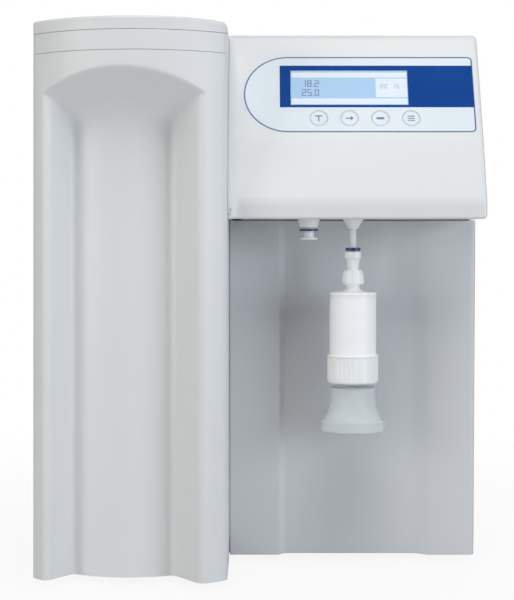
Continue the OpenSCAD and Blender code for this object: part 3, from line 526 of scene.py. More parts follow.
# %% Plan of the pillar
PARTING_REACH = 30
FRONT_RADIUS = 130
FRONT_SHIFT = 5
PILLAR_REACH = 145
CORNER_RADIUS = 12
LEAN = math.tan(math.radians(2.4))
SIDE_STEPS = 4
CORNER_STEPS = 9
pillar_width = pillar_right - body_left
arc_x = body_left + pillar_width / 2 + FRONT_SHIFT
arc_reach = PILLAR_REACH - FRONT_RADIUS


def lean_shift(z):
    return (z - foot_top) * LEAN


def corner_centre(x_side, side):
    """Centre of a round corner that touches a side of the pillar and the front arc."""
    x = x_side + side * CORNER_RADIUS
    return x, arc_reach + math.sqrt((FRONT_RADIUS - CORNER_RADIUS) ** 2 - (x - arc_x) ** 2)


def arc_points(x, reach, radius, start, end, count):
    """Points along an arc, by angle in degrees, counted from +X towards the front."""
    for step in range(count):
        angle = math.radians(start + (end - start) * step / (count - 1))
        yield x + radius * math.cos(angle), reach + radius * math.sin(angle)


left_x, left_reach = corner_centre(body_left, 1)
right_x, right_reach = corner_centre(pillar_right, -1)
left_turn = math.degrees(math.atan2(left_reach - arc_reach, left_x - arc_x))
right_turn = math.degrees(math.atan2(right_reach - arc_reach, right_x - arc_x))


def front_stations(back_reach, arc_steps):
    """(x, reach) along the plan at the foot, from the back of the left side to the back of the right."""
    run = [back_reach + (left_reach - back_reach) * i / SIDE_STEPS for i in range(SIDE_STEPS)]
    stations = [(body_left, reach) for reach in run]
    stations += arc_points(left_x, left_reach, CORNER_RADIUS, 180, left_turn, CORNER_STEPS)
    stations += list(arc_points(arc_x, arc_reach, FRONT_RADIUS, left_turn, right_turn, arc_steps + 2))[1:-1]
    stations += arc_points(right_x, right_reach, CORNER_RADIUS, right_turn, 0, CORNER_STEPS)
    run = [right_reach + (back_reach - right_reach) * (i + 1) / SIDE_STEPS for i in range(SIDE_STEPS)]
    return stations + [(pillar_right, reach) for reach in run]


def lean_reach(reach, z, back_reach):
    """Reach of a station at a height. The back edge stays, and the front moves back by the whole lean."""
    share = min(1.0, max(0.0, (reach - back_reach) / (left_reach - back_reach)))
    return reach - lean_shift(z) * share


print("front arc turns from", round(left_turn, 1), "to", round(right_turn, 1), "degrees")

# %% [markdown]
# ## The fluted door
# The door's face is one broad column with a hollow drawn into it. A grid is laid over the face, and each
# of its points is carried to the place that the surfaces give: the outer arc, the two flanks and the
# crowned floor of the flute, and the sloping ceiling that closes the flute at the top. A soft minimum
# joins the flute to the arc with rounded ridges, and a soft maximum rounds the grooves. The rows of the
# grid follow the arch, so its edge is as crisp as the moulded one. Then the face is closed above and
# below and gets its wall.

# %% Surfaces of the flute
GROOVE_LEFT = (body_left + 36, 86)
GROOVE_RIGHT = (pillar_right - 51, 92)
FLANK_LEFT = 0.82 / -0.57
FLANK_RIGHT = 0.815 / 0.58
FLOOR_CROWN = 13
GROOVE_SOFT_LEFT = 11
GROOVE_SOFT_RIGHT = 10
RIDGE_SOFT = 13
ARCH_EDGE_SOFT = 2.5
ROOF_SOFT_LEAST = 1.5
ROOF_SOFT_MOST = 14
ARCH_DROP = 46
ARCH_SLOPE = math.tan(math.radians(44))
ARCH_TILT = math.tan(math.radians(5))
arch_z = body_top - ARCH_DROP
arch_reach = PILLAR_REACH - lean_shift(arch_z)
pillar_middle = body_left + pillar_width / 2
floor_half = math.hypot(GROOVE_RIGHT[0] - GROOVE_LEFT[0], GROOVE_RIGHT[1] - GROOVE_LEFT[1]) / 2
floor_radius = (floor_half ** 2 + FLOOR_CROWN ** 2) / (2 * FLOOR_CROWN)
floor_turn = math.atan2(GROOVE_RIGHT[1] - GROOVE_LEFT[1], GROOVE_RIGHT[0] - GROOVE_LEFT[0])
floor_x = (GROOVE_LEFT[0] + GROOVE_RIGHT[0]) / 2 + (floor_radius - FLOOR_CROWN) * math.sin(floor_turn)
floor_reach = (GROOVE_LEFT[1] + GROOVE_RIGHT[1]) / 2 - (floor_radius - FLOOR_CROWN) * math.cos(floor_turn)


def soft_max(a, b, soft):
    """The larger of two reaches, blended where they are closer than soft."""
    near = max(soft - abs(a - b), 0) / soft
    return max(a, b) + near * near * soft / 4


def soft_min(a, b, soft):
    return -soft_max(-a, -b, soft)


def flute(x):
    """Reach of the flute at the foot: flanks and crowned floor."""
    span = min(max(x, floor_x - floor_radius), floor_x + floor_radius)
    crown = floor_reach + math.sqrt(floor_radius ** 2 - (span - floor_x) ** 2)
    left = GROOVE_LEFT[1] + (x - GROOVE_LEFT[0]) * FLANK_LEFT
    right = GROOVE_RIGHT[1] + (x - GROOVE_RIGHT[0]) * FLANK_RIGHT
    return soft_max(soft_max(crown, left, GROOVE_SOFT_LEFT), right, GROOVE_SOFT_RIGHT)


def ceiling(x, z):
    """Reach of the flute's sloping ceiling at a height."""
    return arch_reach - (arch_z - (x - pillar_middle) * ARCH_TILT - z) / ARCH_SLOPE


def arch_height(x):
    """Height at which the ceiling meets the pillar's front."""
    outer = arc_reach + math.sqrt(max(FRONT_RADIUS ** 2 - (x - arc_x) ** 2, 0))
    top = (outer + foot_top * LEAN - arch_reach) * ARCH_SLOPE + arch_z - (x - pillar_middle) * ARCH_TILT
    return top / (1 + LEAN * ARCH_SLOPE)


def door_reach(x, outer, z):
    """Reach of the finished face: soft ridges, and an arch that is crisp in front and soft behind."""
    fluted = soft_min(outer, flute(x) - lean_shift(z), RIDGE_SOFT)
    roof = soft_min(outer, ceiling(x, z), ARCH_EDGE_SOFT)
    soft = min(max((outer - roof) / 2, ROOF_SOFT_LEAST), ROOF_SOFT_MOST)
    return soft_max(fluted, roof, soft)


# %% Grid of the door's face
DOOR_WALL = 3.0
ARC_STEPS = 170
ARCH_ROWS = [-62, -50, -41, -34]
ARCH_ROWS += [-30 + 1.2 * i for i in range(21)]
ARCH_ROWS += [-4.8 + 0.6 * i for i in range(16)]
ARCH_ROWS += [5, 6.5]
ARCH_CLEAR = 8
door_top = door_high.z
door_back = PARTING_REACH + 0.3
door_stations = front_stations(door_back, ARC_STEPS)
rows_below = 16
rows_above = 7
row_count = rows_below + len(ARCH_ROWS) + rows_above


def row_height(row, x):
    """Height of a row: even steps below the arch, rows that follow it, and even steps up to the top."""
    arch = min(arch_height(x), door_top - ARCH_CLEAR)
    first, last = arch + ARCH_ROWS[0], arch + ARCH_ROWS[-1]
    if row < rows_below:
        return foot_top + (first - foot_top) * row / rows_below
    if row < rows_below + len(ARCH_ROWS):
        return arch + ARCH_ROWS[row - rows_below]
    return last + (door_top - last) * (row - rows_below - len(ARCH_ROWS) + 1) / rows_above


door_bm = bmesh.new()
columns = len(door_stations)
bmesh.ops.create_grid(door_bm, x_segments=columns - 1, y_segments=row_count - 1, size=0.5)
for vertex in door_bm.verts:
    column = round((vertex.co.x + 0.5) * (columns - 1))
    row = round((vertex.co.y + 0.5) * (row_count - 1))
    x, reach = door_stations[column]
    z = row_height(row, x)
    outer = lean_reach(reach, z, door_back)
    on_side = column < SIDE_STEPS or column > columns - 1 - SIDE_STEPS
    vertex.co = (x, at(outer if on_side else door_reach(x, outer, z)), z)
print("door face:", columns, "columns,", row_count, "rows")


def level(verts, z):
    """Whether all the vertices lie at a height."""
    return all(abs(v.co.z - z) < 1e-4 for v in verts)


def close_end(bm, z):
    """Closes a shell at a height: joins its back corners and fills the loop."""
    ring = [v for v in bm.verts if level([v], z)]
    edges = [e for e in bm.edges if e.is_boundary and level(e.verts, z)]
    ends = [v for v in ring if sum(v in e.verts for e in edges) == 1]
    edges.append(bm.edges.new(ends))
    bmesh.ops.contextual_create(bm, geom=edges)


close_end(door_bm, foot_top)
close_end(door_bm, door_top)
door = make_piece("door_shell", door_bm, casing, "door", ("pillar_door",))
add_wall(door, DOOR_WALL)

# %% [markdown]
# The hinge barrel runs along the door's left edge. It is turned from one outline, and a small boss near
# the right edge carries the strike of the magnetic catch.

# %% Hinge barrel and strike boss
BARREL_RADIUS = 4.5
LUG_HEIGHT = 3.8
LUG_ROOM = 7
BARREL_LOW = foot_top + LUG_HEIGHT
PIN_BORE = 2.55
PIN_DEPTH = 21.5


def turned(name, points, place, material, body, replaces=(), rounding=None, steps=96, edge_mm=0.0,
           transform=None):
    """A piece turned on a lathe from a closed outline of (radius, height) points. rounding gives a radius
    for some of the points, by their number in the outline."""
    bm = bmesh.new()
    verts = [bm.verts.new((r, 0, z)) for r, z in points]
    for first, second in zip(verts, verts[1:] + verts[:1]):
        bm.edges.new((first, second))
    for number, radius in sorted((rounding or {}).items(), reverse=True):
        bmesh.ops.bevel(bm, geom=[verts[number]], offset=radius, segments=5, profile=0.5, affect="VERTICES",
                        material=-1)
    bmesh.ops.spin(bm, geom=bm.edges[:] + bm.verts[:], cent=(0, 0, 0), axis=(0, 0, 1), angle=2 * math.pi,
                   steps=steps, use_merge=True)
    bmesh.ops.translate(bm, vec=(place[0], place[1], 0), verts=bm.verts)
    return make_piece(name, bm, material, body, replaces, edge_mm, transform=transform)


hinge_place = (body_left + BARREL_RADIUS, at(PARTING_REACH))
barrel_outline = [(PIN_BORE, BARREL_LOW), (BARREL_RADIUS, BARREL_LOW), (BARREL_RADIUS, door_top),
                  (PIN_BORE, door_top), (PIN_BORE, door_top - PIN_DEPTH), (0, door_top - PIN_DEPTH),
                  (0, BARREL_LOW + PIN_DEPTH), (PIN_BORE, BARREL_LOW + PIN_DEPTH)]
turned("door_hinge_barrel", barrel_outline, hinge_place, casing, "door", steps=32, edge_mm=0.3)


def block(bm, low, high):
    """Adds a box between two corners to a bmesh."""
    centre = [(a + b) / 2 for a, b in zip(low, high)]
    size = [b - a for a, b in zip(low, high)]
    added = bmesh.ops.create_cube(bm, size=1)["verts"]
    bmesh.ops.scale(bm, vec=size, verts=added)
    bmesh.ops.translate(bm, vec=centre, verts=added)
    return added


strike_low, strike_high = box_mm("door_strike")
boss_bm = bmesh.new()
block(boss_bm, (strike_low.x - 1, at(PARTING_REACH + 10), strike_low.z - 5),
      (pillar_right - DOOR_WALL, strike_low.y - 0.05, strike_high.z + 5))
make_piece("door_strike_boss", boss_bm, casing, "door", edge_mm=0.5)

# %% Room for the lower hinge lug
notch = bmesh.new()
bmesh.ops.create_cone(notch, cap_ends=True, segments=48, radius1=LUG_ROOM, radius2=LUG_ROOM,
                      depth=2 * LUG_HEIGHT)
bmesh.ops.translate(notch, vec=(hinge_place[0], hinge_place[1], foot_top), verts=notch.verts)
cut(door, [notch])
print("door triangles with its wall:", sum(len(p.vertices) - 2 for p in door.data.polygons))

# %% [markdown]
# ## Header band and cap
# The header closes the pillar above the door, and the cap covers it. Both follow the pillar's plan. The
# header is extruded, and the cap is built of rings, because its top edge is rounded: little on the left,
# more at the right in front, where the photograph shows a softer corner.

# %% Header band
HEADER_BACK = 24.8
HEADER_ARC_STEPS = 60
SHELL_WALL = 3.0


def plan_at(z):
    """The plan of the header and the cap at a height, as points of the model."""
    return [(x, at(lean_reach(reach, z, HEADER_BACK)), z) for x, reach in header_stations]


header_stations = front_stations(HEADER_BACK, HEADER_ARC_STEPS)
header_bm = bmesh.new()
face = header_bm.faces.new([header_bm.verts.new(point) for point in plan_at(header_low.z)])
grown = bmesh.ops.extrude_face_region(header_bm, geom=[face])
for vertex in [v for v in grown["geom"] if isinstance(v, bmesh.types.BMVert)]:
    vertex.co.z = header_high.z
    if vertex.co.y < at(HEADER_BACK) - 0.01:
        vertex.co.y += lean_shift(header_high.z) - lean_shift(header_low.z)
bmesh.ops.recalc_face_normals(header_bm, faces=header_bm.faces)
top_faces = [f for f in header_bm.faces if level(f.verts, header_high.z)]
bmesh.ops.delete(header_bm, geom=top_faces, context="FACES_ONLY")
header = make_piece("header_band", header_bm, casing, "root", ("pillar_header",), edge_mm=0.5,
                    outward=False)
add_wall(header, SHELL_WALL)

# %% Cap
CAP_EDGE = 2.4
CAP_SOFT = 7.0
CAP_SOFT_WIDTH = 40
CAP_SOFT_REACH = 50
CAP_STEPS = 7


def smooth(value):
    """Rises gently from 0 to 1, and stays there."""
    value = min(max(value, 0), 1)
    return value * value * (3 - 2 * value)


def edge_radius(x, reach):
    """Rounding of the cap's top edge: wider where its right side meets its front."""
    side = smooth((x - pillar_right + CAP_SOFT_WIDTH) / CAP_SOFT_WIDTH)
    front = smooth(reach / CAP_SOFT_REACH)
    return CAP_EDGE + (CAP_SOFT - CAP_EDGE) * side * front


def inward(points, insets):
    """Moves each point of a closed anticlockwise outline inward by its own inset."""
    moved = []
    for number, point in enumerate(points):
        before = (point - points[number - 1]).normalized()
        after = (points[(number + 1) % len(points)] - point).normalized()
        first, second = Vector((-before.y, before.x)), Vector((-after.y, after.x))
        moved.append(point + (first + second) * insets[number] / (1 + first.dot(second)))
    return moved


cap_plan = [Vector(point[:2]) for point in plan_at(cap_low.z)]
cap_plan += [Vector((pillar_right, back_y)), Vector((body_left, back_y))]
radii = [edge_radius(point.x, face_y - point.y) for point in cap_plan]
cap_bm = bmesh.new()
cap_rings = [[cap_bm.verts.new((point.x, point.y, cap_low.z)) for point in cap_plan]]
for step in range(CAP_STEPS + 1):
    turn = math.pi / 2 * step / CAP_STEPS
    insets = [radius * (1 - math.cos(turn)) for radius in radii]
    heights = [cap_high.z - radius * (1 - math.sin(turn)) for radius in radii]
    places = inward(cap_plan, insets)
    cap_rings.append([cap_bm.verts.new((place.x, place.y, z)) for place, z in zip(places, heights)])
for lower, upper in zip(cap_rings, cap_rings[1:]):
    for number in range(len(lower)):
        follow = (number + 1) % len(lower)
        cap_bm.faces.new((lower[number], lower[follow], upper[follow], upper[number]))
cap_bm.faces.new(cap_rings[-1])
cap = make_piece("pillar_cap_shell", cap_bm, casing, "root", ("pillar_cap",), edge_mm=0.3)
add_wall(cap, SHELL_WALL)
print("header", round(header_high.z - header_low.z, 1), "mm high")
print("cap", round(cap_high.z - cap_low.z, 1), "mm high")

# %% [markdown]
# ## The head
# The head is one loft. Its side outline is a polygon with rounded corners: a short lip, a steep lower
# face, a bend, the leaning control panel and the top. Rings of that outline stand along X. At the pillar
# the rings grow forward in a quarter round, which is the hollow between the head and the pillar, and it
# fades out towards the top. At the right end they shrink in a quarter round, which softens the end.

# %% Side outline of the head
HEAD_REACH = 78
LIP_Z = head_low.z + 17
BEND_REACH = 53
BEND_Z = head_low.z + 74
HEAD_BACK = -40
PANEL_TILT = math.radians(27)
top_reach = BEND_REACH - (body_top - BEND_Z) * math.tan(PANEL_TILT)
HEAD_CORNERS = [((HEAD_BACK, head_low.z), 0), ((HEAD_REACH, head_low.z), 2.5), ((HEAD_REACH, LIP_Z), 26),
                ((BEND_REACH, BEND_Z), 14), ((top_reach, body_top), 14), ((HEAD_BACK, body_top), 0)]


def rounded_outline(corners, inset=0.0, steps=8):
    """Points of a polygon, moved inward and with its corners rounded. Corners run anticlockwise."""
    points = []
    for number, (corner, radius) in enumerate(corners):
        here = Vector(corner)
        into = (here - Vector(corners[number - 1][0])).normalized()
        away = (Vector(corners[(number + 1) % len(corners)][0]) - here).normalized()
        normal_in, normal_out = Vector((-into.y, into.x)), Vector((-away.y, away.x))
        half = math.acos(max(-1.0, min(1.0, into.dot(away)))) / 2
        mitre = (normal_in + normal_out).normalized()
        if radius == 0:
            points.append(here + mitre * inset / math.cos(half))
            continue
        centre = here + mitre * (radius + inset) / math.cos(half)
        start = math.atan2(-normal_in.y, -normal_in.x)
        for step in range(steps + 1):
            angle = start + 2 * half * step / steps
            points.append(centre + Vector((math.cos(angle), math.sin(angle))) * radius)
    return points


ROOT_RADIUS = 12
ROOT_STEPS = 10
END_RADIUS = 4
END_STEPS = 6
TAPER = 42
head_left = head_low.x
head_bm = bmesh.new()
head_rings = []


def add_head_ring(x, grow, inset):
    """One ring of the loft: grown forward below, and moved inward by an inset."""
    ring = []
    for reach, z in rounded_outline(HEAD_CORNERS, inset):
        fade = min(max((body_top - z) / TAPER, 0), 1)
        forward = grow * fade if reach > HEAD_BACK + 1 else 0
        ring.append(head_bm.verts.new((x, at(reach + forward), z)))
    head_rings.append(ring)


for step in range(ROOT_STEPS + 1):
    turn = math.pi / 2 * step / ROOT_STEPS
    add_head_ring(head_left + ROOT_RADIUS * (1 - math.cos(turn)), ROOT_RADIUS * (1 - math.sin(turn)), 0)
for step in range(END_STEPS + 1):
    turn = math.pi / 2 * step / END_STEPS
    add_head_ring(body_right - END_RADIUS * (1 - math.sin(turn)), 0, END_RADIUS * (1 - math.cos(turn)))
for first, second in zip(head_rings, head_rings[1:]):
    for number in range(len(first) - 1):
        if number:
            head_bm.faces.new((first[number], first[number + 1], second[number + 1], second[number]))
head_bm.faces.new(head_rings[0][::-1])
head_bm.faces.new(head_rings[-1])
print("head rings:", len(head_rings), "of", len(head_rings[0]), "points")

# %% [markdown]
# The control panel has its own frame: x as the model, s up the slope from the bend, and a third axis out
# of the face. Everything on the panel is drawn flat and then carried there by one matrix.

# %% Frame of the control panel
panel_turn = Matrix.Rotation(math.pi / 2 - PANEL_TILT, 4, "X")
panel_matrix = Matrix.Translation((0, at(BEND_REACH), BEND_Z)) @ panel_turn
FILM_LEFT = -17
FILM_RIGHT = 207
FILM_LOW = 10.5
FILM_HEIGHT = 86
FILM_DEPTH = 0.5
FILM_CORNER = 4.5
WINDOW_LOW = (28.7, 41.5)
WINDOW_HIGH = (142.7, 80.5)
KEY_RADIUS = 8.5
KEY_PITCH = 29.7
KEY_FIRST = 55.5
KEY_S = 26.3
GAP = 0.3
window_left = WINDOW_LOW[0] - GAP
window_low = WINDOW_LOW[1] - GAP
window_right = WINDOW_HIGH[0] + GAP
window_high = WINDOW_HIGH[1] + GAP
key_centres = [(KEY_FIRST + KEY_PITCH * i, KEY_S) for i in range(4)]


def film_outline(inset=0.0):
    """Round at the left end, with small corners at the right."""
    half = FILM_HEIGHT / 2
    middle_x = FILM_LEFT + half
    high = FILM_LOW + FILM_HEIGHT
    arc = arc_points(middle_x, FILM_LOW + half, half - inset, 90, 270, 49)
    corners = [((middle_x, FILM_LOW), 0), ((FILM_RIGHT, FILM_LOW), FILM_CORNER),
               ((FILM_RIGHT, high), FILM_CORNER), ((middle_x, high), 0)]
    right = rounded_outline(corners, inset, 6)
    return list(arc) + [tuple(point) for point in right[1:-1]]


def plate(outline, low, high):
    """A flat plate from an outline, in a new bmesh."""
    bm = bmesh.new()
    face = bm.faces.new([bm.verts.new((x, s, low)) for x, s in outline])
    grown = bmesh.ops.extrude_face_region(bm, geom=[face])
    moved = [v for v in grown["geom"] if isinstance(v, bmesh.types.BMVert)]
    bmesh.ops.translate(bm, vec=(0, 0, high - low), verts=moved)
    return bm


def openings(low, high):
    """Cutters for the window and the four keys, in the model's frame."""
    shapes = []
    window = bmesh.new()
    block(window, (window_left, window_low, low), (window_right, window_high, high))
    shapes.append(window)
    for x, s in key_centres:
        hole = bmesh.new()
        made = bmesh.ops.create_cone(hole, cap_ends=True, segments=64, radius1=KEY_RADIUS + GAP,
                                     radius2=KEY_RADIUS + GAP, depth=high - low)["verts"]
        bmesh.ops.translate(hole, vec=(x, s, (low + high) / 2), verts=made)
        shapes.append(hole)
    for shape in shapes:
        bmesh.ops.transform(shape, matrix=panel_matrix, verts=shape.verts)
    return shapes


POCKET_TOP = 6
pocket = plate(film_outline(), -FILM_DEPTH, POCKET_TOP)
bmesh.ops.transform(pocket, matrix=panel_matrix, verts=pocket.verts)
head = make_piece("head_shell", head_bm, casing, "root", ("head_cover",), edge_mm=0.25)
add_wall(head, SHELL_WALL)
cut(head, [pocket] + openings(-10, 10))
print("head triangles:", sum(len(p.vertices) - 2 for p in head.data.polygons))

# %% [markdown]
# ## The control film
# The film is a printed sheet that lies in a pocket of the head, level with its face. Its rim is a thin
# dark blue line, and a blue band holds the display. Printed parts are thin solids that stand a few
# hundredths of a millimetre proud of the sheet. The display shows plain numbers only, in bars, and the
# keys carry simple marks.

# %% Inks
film_sheet = finish("printed_film", (0.64, 0.71, 0.76), 0.32, Specular_IOR_Level=0.35)
drift_colour(film_sheet, 18, (0.68, 0.745, 0.79))
drift_roughness(film_sheet, 400, 0.28, 0.38)
relief(film_sheet, 1600, 0.003)

blue_ink = finish("blue_ink", (0.001, 0.04, 0.24), 0.5, Specular_IOR_Level=0.06)
drift_colour(blue_ink, 22, (0.002, 0.065, 0.29))
rim_ink = finish("rim_ink", (0.02, 0.075, 0.24), 0.3)
drift_colour(rim_ink, 50, (0.03, 0.09, 0.27))
grey_ink = finish("grey_ink", (0.36, 0.42, 0.50), 0.35)
drift_colour(grey_ink, 60, (0.42, 0.47, 0.54))

window_glass = finish("display_window", (0.27, 0.45, 0.66), 0.2, Specular_IOR_Level=0.3,
                      Emission_Color=(0.35, 0.6, 0.9, 1), Emission_Strength=0.08)
drift_colour(window_glass, 12, (0.31, 0.50, 0.71))
lit_bar = finish("lit_bar", (0.60, 0.68, 0.76), 0.3, Specular_IOR_Level=0.3,
                 Emission_Color=(0.7, 0.8, 1.0, 1), Emission_Strength=0.08)
drift_colour(lit_bar, 40, (0.65, 0.72, 0.79))

# %% The sheet and its rim
RIM = 1.4
film_bm = plate(film_outline(0.2), -FILM_DEPTH, 0)
top_faces = [f for f in film_bm.faces if all(abs(v.co.z) < 1e-5 for v in f.verts)]
inner = bmesh.ops.inset_individual(film_bm, faces=top_faces, thickness=RIM, use_even_offset=True)
for face in inner["faces"]:
    face.material_index = 1
film = make_piece("control_film", film_bm, [film_sheet, rim_ink], "root", ("graphic_film",),
                  transform=panel_matrix)
cut(film, openings(-2, 2))

INK_LOW = -0.02
INK_HIGH = 0.04


def printed(name, material, inks, body="root", rise=0.0):
    """Prints rectangles, given as (left, low, right, high) on the panel, as one piece."""
    bm = bmesh.new()
    for left, low, right, high in inks:
        block(bm, (left, low, INK_LOW + rise), (right, high, INK_HIGH + rise))
    make_piece(name, bm, material, body, transform=panel_matrix)


BAND_LEFT = 18.1
BAND_LOW = 38.6
BAND_RIGHT = 206.2
BAND_HIGH = 86.3
band_bm = bmesh.new()
columns_x = [BAND_LEFT, window_left, window_right, BAND_RIGHT]
rows_s = [BAND_LOW, window_low, window_high, BAND_HIGH]
grid = [[band_bm.verts.new((x, s, INK_LOW)) for s in rows_s] for x in columns_x]
cells = [band_bm.faces.new((grid[i][j], grid[i + 1][j], grid[i + 1][j + 1], grid[i][j + 1]))
         for i in range(3) for j in range(3) if (i, j) != (1, 1)]
grown = bmesh.ops.extrude_face_region(band_bm, geom=cells)
moved = [v for v in grown["geom"] if isinstance(v, bmesh.types.BMVert)]
bmesh.ops.translate(band_bm, vec=(0, 0, INK_HIGH - INK_LOW), verts=moved)
make_piece("film_band", band_bm, blue_ink, "root", transform=panel_matrix)

# %% Display
refined("display_window", window_glass, 0.2)
SEGMENTS = {"a": (0, 2, 1, 2), "b": (1, 1, 1, 2), "c": (1, 0, 1, 1), "d": (0, 0, 1, 0), "e": (0, 0, 0, 1),
            "f": (0, 1, 0, 2), "g": (0, 1, 1, 1)}
DIGITS = {"0": "abcdef", "1": "bc", "2": "abged", "5": "afgcd", "8": "abcdefg"}


def digits(text, left, low, width, height, bar):
    """Rectangles of a number in seven bars per digit. A point takes half a place."""
    inks = []
    for sign in text:
        if sign == ".":
            inks.append((left, low - bar / 2, left + bar, low + bar / 2))
            left += width * 0.5
            continue
        for name in DIGITS[sign]:
            x0, s0, x1, s1 = SEGMENTS[name]
            inks.append((left + x0 * width - bar / 2, low + s0 * height / 2 - bar / 2,
                         left + x1 * width + bar / 2, low + s1 * height / 2 + bar / 2))
        left += width * 1.7
    return inks


BELOW = -0.2
OVER_BARS = 0.05
FIELD_INSET = 0.8
BOX_START = 82
LARGE = (3.2, 6.6, 0.8)
SMALL = (2.2, 4.4, 0.6)
field_left = WINDOW_LOW[0] + FIELD_INSET
field_right = WINDOW_HIGH[0] - FIELD_INSET
bars = [(field_left, 72.6, field_right, 78.4), (field_left, 42.4, field_right, 48.8),
        (field_left + BOX_START, 50.2, field_right, 71.4)]
large_numbers = digits("18.2", 40, 62.4, *LARGE) + digits("25.0", 40, 52.2, *LARGE)
small_numbers = digits("20", 116, 60.5, *SMALL) + digits("15", 128, 60.5, *SMALL)
printed("display_bars", lit_bar, bars, rise=BELOW)
printed("display_numbers", rim_ink, large_numbers, rise=BELOW)
printed("display_small_numbers", grey_ink, small_numbers, rise=BELOW + OVER_BARS)

# %% Keys
KEY_HEIGHT = 3.2
FLANGE_RADIUS = 10
FLANGE_DEPTH = 4.4
RING_IN = 7.35
RING_OUT = 7.75
TAP = [(-3.6, 2.0, 3.6, 3.2), (-0.6, -3.6, 0.6, 2.0)]
ARROW = [(-3.4, -0.6, 1.2, 0.6), (1.2, -2.0, 2.4, 2.0), (2.4, -1.0, 3.4, 1.0)]
DASH = [(-3.8, -1.2, 3.8, 1.2)]
LIST = [(-3.4, 1.8, 3.4, 2.8), (-3.4, -0.5, 3.4, 0.5), (-3.4, -2.8, 3.4, -1.8)]
cap_outline = [(0, 0.0), (KEY_RADIUS, 0.0), (KEY_RADIUS, -KEY_HEIGHT), (FLANGE_RADIUS, -KEY_HEIGHT),
               (FLANGE_RADIUS, -FLANGE_DEPTH), (0, -FLANGE_DEPTH)]
ring_outline = [(RING_IN, INK_LOW), (RING_OUT, INK_LOW), (RING_OUT, INK_HIGH), (RING_IN, INK_HIGH)]
for number, (centre, marks) in enumerate(zip(key_centres, [TAP, ARROW, DASH, LIST]), start=1):
    key = f"key_{number}"
    x, s = centre
    turned(f"{key}_cap", cap_outline, centre, film_sheet, key, (key,), rounding={1: 0.35}, steps=64,
           transform=panel_matrix)
    turned(f"{key}_ring", ring_outline, centre, grey_ink, key, steps=64, transform=panel_matrix)
    printed(f"{key}_mark", rim_ink, [(x + a, s + b, x + c, s + d) for a, b, c, d in marks], key)

# %% [markdown]
# ## Outlets and the final filter
# Everything that hangs from the head is turned. The nut and the collar have ribs for the fingers, the
# capsule's neck flares into its shoulder, and the bell is clear with a thick rim.

# %% Refined fittings
refined("left_outlet", white_plastic, 0.5)
refined("left_collet", white_plastic, 0.35)
refined("right_outlet", white_plastic, 0.3)
refined("dispense_tube", natural_plastic, 0.1)
refined("inlet_fitting", white_plastic, 0.4)
refined("left_clip", blue_plastic, 0.35)
refined("tube_clip", blue_plastic, 0.5)
refined("capsule_membrane", natural_plastic, 0.4)
refined("outlet_spigot", white_plastic, 0.25)

# %% Union nut
nut_low, nut_high = box_mm("union_nut")
filter_place = ((nut_low.x + nut_high.x) / 2, (nut_low.y + nut_high.y) / 2)
NECK_RADIUS = 6.15
SPIGOT_RADIUS = 4.0
FIT = 0.05
FITTING_RADIUS = 5.35
FLANGE_ROOM = 7.3
FLANGE_LOW = 6.3
FLANGE_HIGH = 9.6
nut_z = nut_low.z
nut_top = nut_high.z
nut_outline = [(NECK_RADIUS + FIT, nut_z), (9.9, nut_z), (10.2, nut_z + 1.6), (9.0, nut_top - 2.2),
               (8.6, nut_top), (FITTING_RADIUS + FIT, nut_top), (FITTING_RADIUS + FIT, nut_z + FLANGE_HIGH),
               (FLANGE_ROOM, nut_z + FLANGE_HIGH), (FLANGE_ROOM, nut_z + FLANGE_LOW),
               (NECK_RADIUS + FIT, nut_z + FLANGE_LOW)]


def turned_white(name, outline, node, body, rounding):
    """A turned white piece of the filter, which replaces a node."""
    turned(name, outline, filter_place, white_plastic, body, (node,), rounding=rounding)


turned_white("union_nut_body", nut_outline, "union_nut", "nut", {1: 0.5, 2: 0.6, 3: 0.8, 4: 0.5})


def ribs(name, count, radius_low, radius_high, z_low, z_high, width, depth, body):
    """Upright white ribs round the filter's axis. Each leans with the wall it stands on."""
    bm = bmesh.new()
    for number in range(count):
        made = block(bm, (-depth, -width / 2, z_low), (depth, width / 2, z_high))
        for vertex in made:
            share = (vertex.co.z - z_low) / (z_high - z_low)
            vertex.co.x += radius_low + (radius_high - radius_low) * share
        turn = Matrix.Rotation(2 * math.pi * number / count, 4, "Z")
        bmesh.ops.transform(bm, matrix=Matrix.Translation((*filter_place, 0)) @ turn, verts=made)
    make_piece(name, bm, white_plastic, body, edge_mm=width * 0.3)


ribs("union_nut_ribs", 16, 10.0, 9.05, nut_z + 2, nut_top - 2.4, 1.3, 0.6, "nut")

# %% Capsule
capsule_low, capsule_high = box_mm("capsule_body")
CAPSULE_RADIUS = 22.35
CAPSULE_WALL = 3
CAPSULE_BORE = 2.5
SHOULDER_Z = nut_z - 7
SHOULDER_HEIGHT = 3.2
FLARE_WIDTH = 7
FLARE_HEIGHT = 5.5
body_z = capsule_low.z
neck_top = capsule_high.z
shoulder_low = SHOULDER_Z - SHOULDER_HEIGHT
flare = [(NECK_RADIUS + FLARE_WIDTH * (1 - math.cos(t)), SHOULDER_Z + FLARE_HEIGHT * (1 - math.sin(t)))
         for t in [math.pi / 2 * i / 8 for i in range(9)]]
capsule_outline = [(CAPSULE_BORE, neck_top), (NECK_RADIUS, neck_top)] + flare + [
    (CAPSULE_RADIUS - 1.2, SHOULDER_Z - 0.4), (CAPSULE_RADIUS + 0.5, SHOULDER_Z - 1.6),
    (CAPSULE_RADIUS + 0.5, shoulder_low), (CAPSULE_RADIUS, shoulder_low - 0.1), (CAPSULE_RADIUS, body_z),
    (CAPSULE_RADIUS - CAPSULE_WALL, body_z), (CAPSULE_RADIUS - CAPSULE_WALL, SHOULDER_Z - 4),
    (CAPSULE_BORE, SHOULDER_Z - 4)]
first = 2 + len(flare)
capsule_rounding = {1: 0.5, first: 0.8, first + 1: 0.8, first + 2: 0.4}
